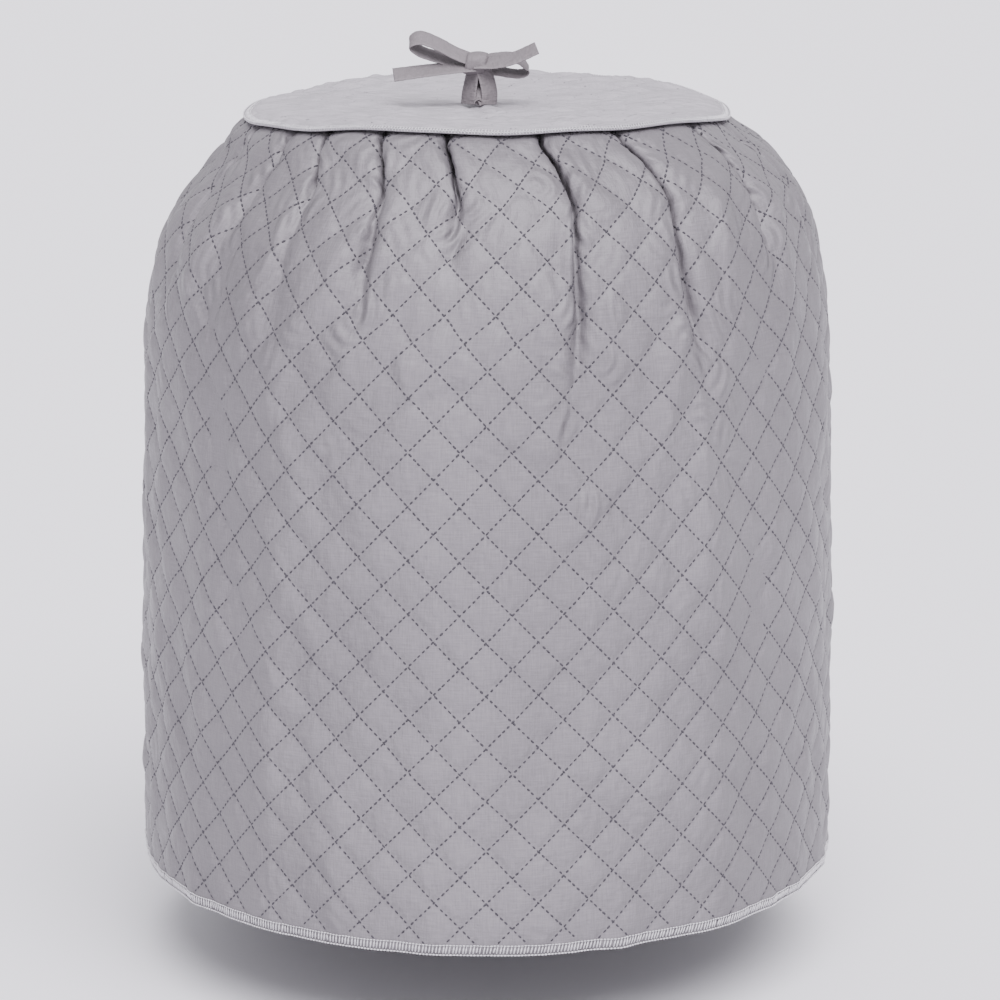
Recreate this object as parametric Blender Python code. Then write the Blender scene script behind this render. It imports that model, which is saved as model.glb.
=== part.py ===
"""A quilted cover for a gas cylinder: a gathered skirt, a round lid and a tape tie in a bow.

Metres, +Z up. The origin is under the middle of the lid, where the cover rests on the
cylinder, and the front faces -Y. Run it with: blender --background --python part.py
"""
import math
from collections import namedtuple

import bmesh
import bpy
import numpy as np
from mathutils import Matrix, Vector, geometry

# Quilted cloth. Stitched lines cross the cloth on the slant and make diamonds.
CLOTH_THICKNESS = 0.0022
PILLOW_HEIGHT = 0.0018
DIAMOND_WIDTH = 0.026
DIAMOND_HEIGHT = 0.027
DIAMONDS_AROUND = 45
HALF_WIDTH = DIAMOND_WIDTH / 2
HALF_HEIGHT = DIAMOND_HEIGHT / 2
CLOTH_AROUND = DIAMOND_WIDTH * DIAMONDS_AROUND
FITTING_GAP = 0.0003

# Skirt, from the edge that is tucked under the lid down to the hem. The radius is that
# of the stitched lines, and the depth is measured down from the middle of the lid's
# underside, which sags below the lid's rim.
Section = namedtuple("Section", "radius depth")
SKIRT_SECTIONS = (
    Section(0.1180, -0.0037),
    Section(0.1265, -0.0027),
    Section(0.1355, 0.0043),
    Section(0.1466, 0.0160),
    Section(0.1597, 0.0347),
    Section(0.1714, 0.0580),
    Section(0.1800, 0.0905),
    Section(0.1834, 0.1285),
    Section(0.1864, 0.2555),
    Section(0.1878, 0.4010),
)

# Folds that take in the spare cloth. The angle is in degrees from the front, positive to
# the right, where the fold starts. The share sets its depth beside the other folds. Width,
# start and reach are metres of cloth, with start and reach counted down from the tucked
# edge. The drift is how far the fold turns sideways over its reach, in degrees.
Fold = namedtuple("Fold", "angle share width start reach drift")
FOLDS = (
    Fold(-171.0, 1.00, 0.0085, 0.0, 0.15, 3.0),
    Fold(-151.0, 1.15, 0.0090, 0.0, 0.21, -5.0),
    Fold(-131.5, 0.90, 0.0080, 0.0, 0.13, 2.0),
    Fold(-112.0, 1.10, 0.0090, 0.0, 0.18, -4.0),
    Fold(-92.5, 0.95, 0.0085, 0.0, 0.13, -3.0),
    Fold(-71.0, 1.10, 0.0090, 0.0, 0.15, 4.0),
    Fold(-52.0, 0.85, 0.0085, 0.0, 0.12, -2.0),
    Fold(-39.5, 0.80, 0.0080, 0.0, 0.13, 3.0),
    Fold(-23.5, 0.95, 0.0085, 0.0, 0.16, 3.0),
    Fold(-7.6, 0.95, 0.0080, 0.0, 0.12, 0.0),
    Fold(13.0, 1.10, 0.0090, 0.0, 0.23, 3.0),
    Fold(32.0, 1.10, 0.0090, 0.0, 0.24, 9.0),
    Fold(56.0, 1.20, 0.0090, 0.0, 0.12, 3.0),
    Fold(75.0, 1.05, 0.0085, 0.0, 0.13, 4.0),
    Fold(94.0, 1.00, 0.0085, 0.0, 0.17, -3.0),
    Fold(113.0, 1.15, 0.0090, 0.0, 0.14, 2.0),
    Fold(132.5, 0.95, 0.0085, 0.0, 0.20, 5.0),
    Fold(151.0, 1.05, 0.0085, 0.0, 0.13, -3.0),
    Fold(169.5, 1.00, 0.0085, 0.0, 0.17, 2.0),
    Fold(-128.0, 0.55, 0.0300, 0.08, 0.30, 6.0),
    Fold(-84.0, 0.40, 0.0300, 0.08, 0.26, 4.0),
    Fold(-55.0, 0.55, 0.0300, 0.08, 0.30, -7.0),
    Fold(-14.0, 0.55, 0.0240, 0.08, 0.20, 24.0),
    Fold(44.0, 0.50, 0.0280, 0.10, 0.28, 5.0),
    Fold(84.0, 0.45, 0.0280, 0.08, 0.30, -6.0),
    Fold(118.0, 0.45, 0.0280, 0.08, 0.28, 4.0),
    Fold(158.0, 0.50, 0.0300, 0.08, 0.30, 7.0),
)
FOLD_SPREAD = 0.9
FOLD_RISE = 0.30
FOLD_HOLD = 0.35
DEEPEST_FOLD = 0.016
SHALLOW_FOLD = 0.0045
SHALLOW_FROM = 0.03
SHALLOW_TO = 0.14
FLAT_FROM = 0.38
TIGHTEST_CLOTH = 0.15
SOFT_WAVE = 0.0007
QUILT_SHRINK = 0.012
GATHER_PUCKER = 0.05
PUCKER_FROM = 0.03
PUCKER_TO = 0.14
STEPS_AROUND = 1440
FINE_ROWS_FROM = 19
COARSE_ROW_STEP = 3

# Lid.
LID_RADIUS = 0.1277
LID_RIM_POINTS = 90
LID_RIM_MARGIN = 0.006
LID_SAG = 0.0045
LID_SAG_FROM = 0.020
LID_SAG_TO = 0.112
Droop = namedtuple("Droop", "depth power")
LEFT_DROOP = Droop(0.0068, 2.4)
RIGHT_DROOP = Droop(0.0058, 5.0)
LID_RIM_WAVE = 0.0006
SETTLE_DEPTH = 0.060
SHOULDER_LEAN = 0.0045
SHOULDER_LEAN_DEPTH = 0.022
SHOULDER_LEAN_REACH = 0.030

# Tie. Each run of the tape is a table of points along its middle. The tape's width first
# points from front to back; it is turned up by the tilt and to the right by the turn, in
# degrees.
TAPE_WIDTH = 0.010
TAPE_THICKNESS = 0.0012
TAPE_STEPS = 14
TIE_FOOT = CLOTH_THICKNESS + PILLOW_HEIGHT + FITTING_GAP
KNOT_CENTRE = Vector((-0.0058, -0.0060, 0.0255))
KNOT_SIZE = Vector((0.0125, 0.0130, 0.0115))
TapePoint = namedtuple("TapePoint", "x y z tilt turn")
TAPE_RUNS = (
    (
        TapePoint(-0.0045, -0.0070, 0.0265, 35.0, 0.0),
        TapePoint(-0.0155, -0.0075, 0.0305, 38.0, 0.0),
        TapePoint(-0.0260, -0.0080, 0.0360, 40.0, 0.0),
        TapePoint(-0.0350, -0.0080, 0.0390, 40.0, 0.0),
        TapePoint(-0.0400, -0.0070, 0.0360, 36.0, 0.0),
        TapePoint(-0.0345, -0.0050, 0.0315, 34.0, 0.0),
        TapePoint(-0.0240, -0.0040, 0.0280, 32.0, 0.0),
        TapePoint(-0.0140, -0.0045, 0.0255, 30.0, 0.0),
        TapePoint(-0.0060, -0.0055, 0.0245, 25.0, 0.0),
    ),
    (
        TapePoint(-0.0060, -0.0085, 0.0240, 24.0, 0.0),
        TapePoint(-0.0180, -0.0100, 0.0235, 30.0, 0.0),
        TapePoint(-0.0330, -0.0110, 0.0220, 34.0, 0.0),
        TapePoint(-0.0488, -0.0120, 0.0200, 38.0, 0.0),
    ),
    (
        TapePoint(-0.0065, -0.0090, 0.0260, 30.0, 0.0),
        TapePoint(0.0050, -0.0105, 0.0265, 34.0, 0.0),
        TapePoint(0.0150, -0.0110, 0.0290, 36.0, 0.0),
        TapePoint(0.0262, -0.0110, 0.0340, 36.0, 0.0),
    ),
    (
        TapePoint(-0.0065, -0.0030, 0.0255, 24.0, 0.0),
        TapePoint(0.0050, 0.0000, 0.0277, 26.0, 0.0),
        TapePoint(0.0150, 0.0020, 0.0273, 26.0, 0.0),
        TapePoint(0.0215, 0.0030, 0.0215, 22.0, 0.0),
        TapePoint(0.0170, 0.0025, 0.0190, 22.0, 0.0),
        TapePoint(0.0070, 0.0005, 0.0205, 24.0, 0.0),
        TapePoint(-0.0055, -0.0030, 0.0230, 24.0, 0.0),
    ),
    (
        TapePoint(-0.0070, -0.0060, 0.0235, 4.0, -30.0),
        TapePoint(-0.0080, -0.0070, 0.0165, 6.0, -35.0),
        TapePoint(-0.0092, -0.0082, 0.0100, 8.0, -38.0),
        TapePoint(-0.0092, -0.0086, TIE_FOOT, 4.0, -40.0),
    ),
    (
        TapePoint(-0.0030, -0.0060, 0.0235, 0.0, 60.0),
        TapePoint(0.0000, -0.0072, 0.0165, 0.0, 55.0),
        TapePoint(0.0008, -0.0080, 0.0100, 0.0, 52.0),
        TapePoint(0.0004, -0.0082, TIE_FOOT, 0.0, 50.0),
    ),
    (
        TapePoint(-0.0150, -0.0085, TIE_FOOT + 0.0006, 0.0, 0.0),
        TapePoint(-0.0055, -0.0090, TIE_FOOT + 0.0010, 0.0, 0.0),
        TapePoint(0.0045, -0.0085, TIE_FOOT + 0.0006, 0.0, 0.0),
    ),
)

# Finishes: linear colour, roughness and metallic value.
Finish = namedtuple("Finish", "name colour roughness metallic")
QUILTED_CLOTH = Finish("quilted_polyester", (0.38, 0.36, 0.40, 1.0), 0.62, 0.0)
LID_CLOTH = Finish("quilted_polyester_lid", (0.46, 0.44, 0.47, 1.0), 0.62, 0.0)
TAPE_CLOTH = Finish("woven_polyester_tape", (0.30, 0.28, 0.30, 1.0), 0.70, 0.0)


def clear_scene():
    """Remove every object that is already in the file."""
    for item in list(bpy.data.objects):
        bpy.data.objects.remove(item, do_unlink=True)


def smooth_step(low, high, value):
    """Rise softly from 0 at low to 1 at high."""
    part = np.clip((np.asarray(value, dtype=float) - low) / (high - low), 0.0, 1.0)
    return part * part * (3.0 - 2.0 * part)


def curve_through(points, steps):
    """Return points along a smooth curve through the given rows, steps to each span."""
    rows = np.asarray(points, dtype=float)
    ends = np.vstack((2 * rows[0] - rows[1], rows, 2 * rows[-1] - rows[-2]))
    along = np.linspace(0.0, 1.0, steps, endpoint=False)[:, None]
    spans = []
    for before, start, end, after in zip(ends, ends[1:], ends[2:], ends[3:]):
        leave = (end - before) / 2
        arrive = (after - start) / 2
        spans.append(
            (2 * along**3 - 3 * along**2 + 1) * start
            + (along**3 - 2 * along**2 + along) * leave
            + (3 * along**2 - 2 * along**3) * end
            + (along**3 - along**2) * arrive
        )
    return np.vstack(spans + [rows[-1:]])


def skirt_profile():
    """Return the skirt's section as arrays: length up from the hem, radius, depth."""
    curve = curve_through(SKIRT_SECTIONS[::-1], 24)
    lengths = np.hypot(*np.diff(curve, axis=0).T)
    return np.concatenate(([0.0], np.cumsum(lengths))), curve[:, 0], curve[:, 1]


PROFILE_UP, PROFILE_RADIUS, PROFILE_DEPTH = skirt_profile()
CLOTH_LENGTH = float(PROFILE_UP[-1])


def profile_at(up):
    """Return radius, height and the outward direction (radial, vertical) of the section."""
    reach = 0.002
    low = max(up - reach, 0.0)
    high = min(up + reach, CLOTH_LENGTH)
    radius = np.interp((low, up, high), PROFILE_UP, PROFILE_RADIUS)
    height = -np.interp((low, up, high), PROFILE_UP, PROFILE_DEPTH)
    run = Vector((radius[2] - radius[0], height[2] - height[0])).normalized()
    return float(radius[1]), float(height[1]), run.y, -run.x


def fold_shares(up, around):
    """Return how far the folds draw the cloth in at a height, before it is scaled."""
    below = CLOTH_LENGTH - up
    shares = np.zeros_like(around)
    for fold in FOLDS:
        down = (below - fold.start) / fold.reach
        rise = 1.0 if fold.start == 0.0 else float(smooth_step(0.0, FOLD_RISE, down))
        strength = fold.share * rise * (1.0 - float(smooth_step(FOLD_HOLD, 1.0, down)))
        part = min(max(down, 0.0), 1.0)
        centre = (fold.angle + fold.drift * part) / 360.0 * CLOTH_AROUND
        offset = (around - centre + CLOTH_AROUND / 2) % CLOTH_AROUND - CLOTH_AROUND / 2
        width = fold.width * (1.0 + FOLD_SPREAD * part)
        shares += strength * np.exp(-np.abs(offset / width) ** 1.5)
    return shares


def soft_waves(up, around):
    """Return the shallow hollows that the hanging cloth has all over its lower part."""
    turn = around * 2 * math.pi / CLOTH_AROUND
    rise = up / CLOTH_LENGTH
    waves = np.sin(3 * turn + 4.0 * rise + 0.5) + 0.7 * np.sin(7 * turn - 6.0 * rise + 1.9)
    waves += 0.5 * np.sin(11 * turn + 9.0 * rise + 0.4)
    return SOFT_WAVE * (1.0 - waves / 2.2) * float(smooth_step(0.02, 0.12, CLOTH_LENGTH - up))


def gather_row(up):
    """Return the angle and the inward dip at STEPS_AROUND places round the cloth.

    The folds are as deep as the spare cloth at this height needs, so the cloth keeps
    its own width along its surface. Lower down, where none is spare, they fade evenly.
    """
    radius, _, radial, _ = profile_at(up)
    around = (np.arange(STEPS_AROUND) / STEPS_AROUND - 0.5) * CLOTH_AROUND
    shares = fold_shares(up, around)
    below = CLOTH_LENGTH - up
    puckers = GATHER_PUCKER * (1.0 - float(smooth_step(PUCKER_FROM, PUCKER_TO, below)))
    step = CLOTH_AROUND / STEPS_AROUND * (1.0 - QUILT_SHRINK - puckers)

    def turns(depth):
        dips = depth * shares
        ahead = np.roll(dips, -1)
        level = np.sqrt(np.maximum(step**2 - (ahead - dips) ** 2, (TIGHTEST_CLOTH * step) ** 2))
        return level / (radius - radial * (dips + ahead) / 2)

    shallow = float(smooth_step(SHALLOW_FROM, SHALLOW_TO, below))
    fade = 1.0 - float(smooth_step(SHALLOW_TO, FLAT_FROM, below))
    high = (DEEPEST_FOLD + (SHALLOW_FOLD - DEEPEST_FOLD) * shallow) * fade
    low = high if below > SHALLOW_TO else 0.0
    for _ in range(30):
        middle = (low + high) / 2
        if turns(middle).sum() > 2 * math.pi:
            low = middle
        else:
            high = middle
    angles = np.concatenate(([0.0], np.cumsum(turns(low))))
    angles *= 2 * math.pi / angles[-1]
    angles = angles[:-1] - math.pi
    angles -= (angles - around * 2 * math.pi / CLOTH_AROUND).mean()
    return around, angles, low * shares + soft_waves(up, around)


def settle(x, y, z):
    """Let the lid's ends droop, its rim wave and the shoulder lean, as the cloth rests."""
    reach = math.hypot(x, y)
    turn = math.atan2(x, -y)
    near_lid = float(smooth_step(-SETTLE_DEPTH, 0.0, z))
    side = LEFT_DROOP if x < 0.0 else RIGHT_DROOP
    droop = side.depth * min(abs(x) / LID_RADIUS, 1.0) ** side.power
    wave = math.sin(5 * turn + 0.6) + 0.7 * math.sin(9 * turn + 2.1) + 0.4 * math.sin(14 * turn)
    rim = float(smooth_step(LID_RADIUS - 0.030, LID_RADIUS, reach))
    lean = SHOULDER_LEAN * math.exp(-((-z - SHOULDER_LEAN_DEPTH) / SHOULDER_LEAN_REACH) ** 2)
    lean *= float(smooth_step(0.0, -0.012, z))
    return Vector((x + lean, y, z - (droop + LID_RIM_WAVE * rim * wave) * near_lid))


def skirt_ring(up, heights):
    """Return one ring of points at a height up the cloth, raised by the given heights."""
    radius, level, radial, vertical = profile_at(up)
    around, angles, dips = gather_row(up)
    count = len(heights)
    columns = (np.arange(count) / count - 0.5) * CLOTH_AROUND
    ring = []
    for place, raised in zip(columns, heights):
        angle = float(np.interp(place, around, angles))
        out = raised - float(np.interp(place, around, dips))
        reach = radius + radial * out
        ring.append(settle(reach * math.sin(angle), -reach * math.cos(angle), level + vertical * out))
    return ring


def quilt_height(column, row, rows):
    """Return the raised height of a grid point: stitched crossings lie low."""
    if (column + row) % 2 == 0:
        return 0.0
    near_edge = min(row + 0.5, rows - row, 2.0) / 2.0
    return PILLOW_HEIGHT * near_edge


def new_object(name, mesh, finish):
    """Add an object with a mesh and its own material."""
    material = bpy.data.materials.new(finish.name)
    material.use_nodes = True
    shader = material.node_tree.nodes["Principled BSDF"]
    shader.inputs["Base Color"].default_value = finish.colour
    shader.inputs["Roughness"].default_value = finish.roughness
    shader.inputs["Metallic"].default_value = finish.metallic
    mesh.materials.append(material)
    item = bpy.data.objects.new(name, mesh)
    bpy.context.scene.collection.objects.link(item)
    return item


def mesh_from(name, model):
    """Turn a finished bmesh into a mesh of triangles."""
    bmesh.ops.triangulate(model, faces=model.faces)
    mesh = bpy.data.meshes.new(name)
    model.to_mesh(mesh)
    model.free()
    return mesh


def build_skirt():
    """Build the gathered skirt as one closed shell of quilted cloth."""
    columns = 2 * DIAMONDS_AROUND
    full_rows = int(CLOTH_LENGTH / HALF_HEIGHT)
    heights_up = [row * HALF_HEIGHT for row in range(full_rows + 1)] + [CLOTH_LENGTH]
    shift = DIAMONDS_AROUND
    rings = []
    for row, up in enumerate(heights_up):
        inside_top = row > full_rows
        heights = [
            0.0 if inside_top else quilt_height(column + shift, row, full_rows)
            for column in range(columns)
        ]
        rings.append(skirt_ring(up, heights))
    inner_rows = list(range(0, FINE_ROWS_FROM, COARSE_ROW_STEP))
    inner_rows += list(range(FINE_ROWS_FROM, len(heights_up)))
    for row in reversed(inner_rows):
        rings.append(skirt_ring(heights_up[row], [-CLOTH_THICKNESS] * columns))

    model = bmesh.new()
    loops = [[model.verts.new(point) for point in ring] for ring in rings]
    for index, lower in enumerate(loops):
        upper = loops[(index + 1) % len(loops)]
        for column in range(columns):
            after = (column + 1) % columns
            corners = (lower[column], lower[after], upper[after], upper[column])
            if (column + shift + index) % 2 == 0:
                model.faces.new((corners[0], corners[1], corners[2]))
                model.faces.new((corners[0], corners[2], corners[3]))
            else:
                model.faces.new((corners[0], corners[1], corners[3]))
                model.faces.new((corners[1], corners[2], corners[3]))
    return new_object("skirt", mesh_from("skirt", model), QUILTED_CLOTH)


def build_lid():
    """Build the round lid, quilted on top and flat below."""
    rim = [
        Vector((LID_RADIUS, 0.0)) @ Matrix.Rotation(2 * math.pi * place / LID_RIM_POINTS, 2).transposed()
        for place in range(LID_RIM_POINTS)
    ]
    points = list(rim)
    raised = [0.0] * len(rim)
    placed = {}
    reach = int(LID_RADIUS / HALF_WIDTH) + 1
    for row in range(-reach, reach + 1):
        for column in range(-reach, reach + 1):
            place = Vector((column * HALF_WIDTH, row * HALF_HEIGHT))
            if place.length < LID_RADIUS - LID_RIM_MARGIN:
                placed[(column, row)] = len(points)
                points.append(place)
                raised.append(PILLOW_HEIGHT if (row + column) % 2 else 0.0)
    seams = []
    for (column, row), source in placed.items():
        for step in (-1, 1):
            after = placed.get((column + 1, row + step))
            if (row + column) % 2 == 0 and after is not None:
                seams.append((source, after))
    boundary = [list(range(len(rim)))]
    flat = geometry.delaunay_2d_cdt(points, seams, boundary, 1, 0.00001)
    model = bmesh.new()
    order = [sources[0] for sources in flat[3]]
    levels = [
        LID_SAG * float(smooth_step(LID_SAG_FROM, LID_SAG_TO, place.length)) for place in flat[0]
    ]
    top = [
        model.verts.new(settle(place.x, place.y, level + CLOTH_THICKNESS + raised[source]))
        for place, level, source in zip(flat[0], levels, order)
    ]
    bottom = [
        model.verts.new(settle(place.x, place.y, level)) for place, level in zip(flat[0], levels)
    ]
    for face in flat[2]:
        model.faces.new([top[corner] for corner in face])
        model.faces.new([bottom[corner] for corner in reversed(face)])
    position = {source: index for index, source in enumerate(order)}
    for place in range(LID_RIM_POINTS):
        here = position[place]
        after = position[(place + 1) % LID_RIM_POINTS]
        model.faces.new((bottom[here], bottom[after], top[after], top[here]))
    return new_object("lid", mesh_from("lid", model), LID_CLOTH)


def tape_run(name, points):
    """Build one run of the tape as a closed strip along its table of points."""
    curve = curve_through(points, TAPE_STEPS // (len(points) - 1) + 1)
    middles = [Vector(row[:3]) for row in curve]
    model = bmesh.new()
    sections = []
    for index, middle in enumerate(middles):
        ahead = middles[min(index + 1, len(middles) - 1)]
        behind = middles[max(index - 1, 0)]
        along = (ahead - behind).normalized()
        tilt, turn = np.radians(curve[index][3:])
        level = Vector((math.sin(turn) * math.cos(tilt), math.cos(turn) * math.cos(tilt), math.sin(tilt)))
        across = (level - along * level.dot(along)).normalized() * TAPE_WIDTH / 2
        up = across.cross(along).normalized() * TAPE_THICKNESS / 2
        corners = (middle - across - up, middle + across - up, middle + across + up, middle - across + up)
        sections.append([model.verts.new(corner) for corner in corners])
    for lower, upper in zip(sections, sections[1:]):
        for side in range(4):
            after = (side + 1) % 4
            model.faces.new((lower[side], lower[after], upper[after], upper[side]))
    model.faces.new(sections[0][::-1])
    model.faces.new(sections[-1])
    bmesh.ops.recalc_face_normals(model, faces=model.faces)
    return new_object(name, mesh_from(name, model), TAPE_CLOTH)


def build_tie():
    """Build the tape tie: a rounded knot joined with the loops, the tails and the stem."""
    model = bmesh.new()
    bmesh.ops.create_cube(model, size=1.0)
    bmesh.ops.bevel(
        model,
        geom=model.edges[:],
        offset=0.28,
        segments=2,
        profile=0.5,
        affect="EDGES",
        material=-1,
    )
    bmesh.ops.scale(model, vec=KNOT_SIZE, verts=model.verts)
    bmesh.ops.translate(model, vec=KNOT_CENTRE, verts=model.verts)
    tie = new_object("tie", mesh_from("tie", model), TAPE_CLOTH)
    for number, points in enumerate(TAPE_RUNS):
        run = tape_run(f"tape_run_{number}", points)
        run.hide_render = True
        run.display_type = "WIRE"
        join = tie.modifiers.new(f"join_{number}", "BOOLEAN")
        join.operation = "UNION"
        join.solver = "EXACT"
        join.use_self = True
        join.object = run
    return tie


def main():
    """Build the cover."""
    clear_scene()
    build_skirt()
    build_lid()
    build_tie()


main()
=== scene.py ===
"""Looks of a quilted gas cylinder cover: gathered skirt, round lid and a tape tied in a bow.

The cloth is grey polyester, quilted in diamonds with dark thread, and its edges are
overlocked in pale thread. Metres, +Z up, the front faces -Y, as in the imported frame.
"""
import logging
import math
from dataclasses import dataclass, field
from enum import Enum
from typing import Callable

import bmesh
import bpy
import numpy as np
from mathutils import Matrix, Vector


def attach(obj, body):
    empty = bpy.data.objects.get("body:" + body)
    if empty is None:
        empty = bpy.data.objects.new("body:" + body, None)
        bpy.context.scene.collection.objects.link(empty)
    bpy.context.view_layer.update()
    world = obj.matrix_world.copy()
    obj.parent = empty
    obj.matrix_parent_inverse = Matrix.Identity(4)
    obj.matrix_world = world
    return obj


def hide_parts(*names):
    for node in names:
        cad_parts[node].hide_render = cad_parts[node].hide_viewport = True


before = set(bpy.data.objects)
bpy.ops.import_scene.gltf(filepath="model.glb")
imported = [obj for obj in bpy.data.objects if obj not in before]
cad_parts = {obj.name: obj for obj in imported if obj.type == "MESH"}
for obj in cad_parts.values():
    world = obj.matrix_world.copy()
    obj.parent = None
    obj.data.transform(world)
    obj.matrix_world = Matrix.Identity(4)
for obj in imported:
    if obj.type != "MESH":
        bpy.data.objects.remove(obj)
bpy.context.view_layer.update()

LOG = logging.getLogger("cylinder_cover")
FULL_TURN = 2 * math.pi
SEED = 20


class Slot(Enum):
    """Material slots of the record."""

    SKIRT = "quilted_cloth"
    LID = "lid_cloth"
    TIE = "tape"


def linear(colour: str, alpha: float = 1.0) -> tuple[float, float, float, float]:
    """Turn an sRGB hex colour to linear values.

    Args:
        colour: Six hex digits with a leading hash.
        alpha: Opacity to add as the fourth value.

    Returns:
        Linear red, green, blue and the opacity.
    """
    parts = [int(colour[index:index + 2], 16) / 255 for index in (1, 3, 5)]
    red, green, blue = (
        part / 12.92 if part <= 0.04045 else ((part + 0.055) / 1.055) ** 2.4 for part in parts
    )
    return red, green, blue, alpha


def add_node(tree: bpy.types.NodeTree, kind: str, settings: dict, links: dict) -> bpy.types.Node:
    """Add a shader node with its settings and links.

    Args:
        tree: The material's node tree.
        kind: Blender's name for the node type.
        settings: Node attributes by name, or socket values by name or index.
        links: Output sockets to plug in, by input name or index.

    Returns:
        The new node.
    """
    node = tree.nodes.new(kind)
    for name, value in settings.items():
        if isinstance(name, str) and hasattr(node, name):
            setattr(node, name, value)
        else:
            node.inputs[name].default_value = value
    for name, output in links.items():
        tree.links.new(output, node.inputs[name])
    return node


def smooth_step(low: float, high: float, value: "np.ndarray | float") -> np.ndarray:
    """Rise softly from 0 at low to 1 at high."""
    part = np.clip((np.asarray(value, dtype=float) - low) / (high - low), 0.0, 1.0)
    return part * part * (3.0 - 2.0 * part)


def curve_through(points: "np.ndarray | tuple", steps: int) -> np.ndarray:
    """Find points along a smooth curve through the given rows.

    Args:
        points: Rows of numbers that the curve passes through.
        steps: Points to each span.

    Returns:
        One row for each point, ending on the last given one.
    """
    rows = np.asarray(points, dtype=float)
    ends = np.vstack((2 * rows[0] - rows[1], rows, 2 * rows[-1] - rows[-2]))
    along = np.linspace(0.0, 1.0, steps, endpoint=False)[:, None]
    spans = []
    for before, start, end, after in zip(ends, ends[1:], ends[2:], ends[3:]):
        leave = (end - before) / 2
        arrive = (after - start) / 2
        spans.append(
            (2 * along**3 - 3 * along**2 + 1) * start
            + (along**3 - 2 * along**2 + along) * leave
            + (3 * along**2 - 2 * along**3) * end
            + (along**3 - along**2) * arrive
        )
    return np.vstack(spans + [rows[-1:]])


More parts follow.
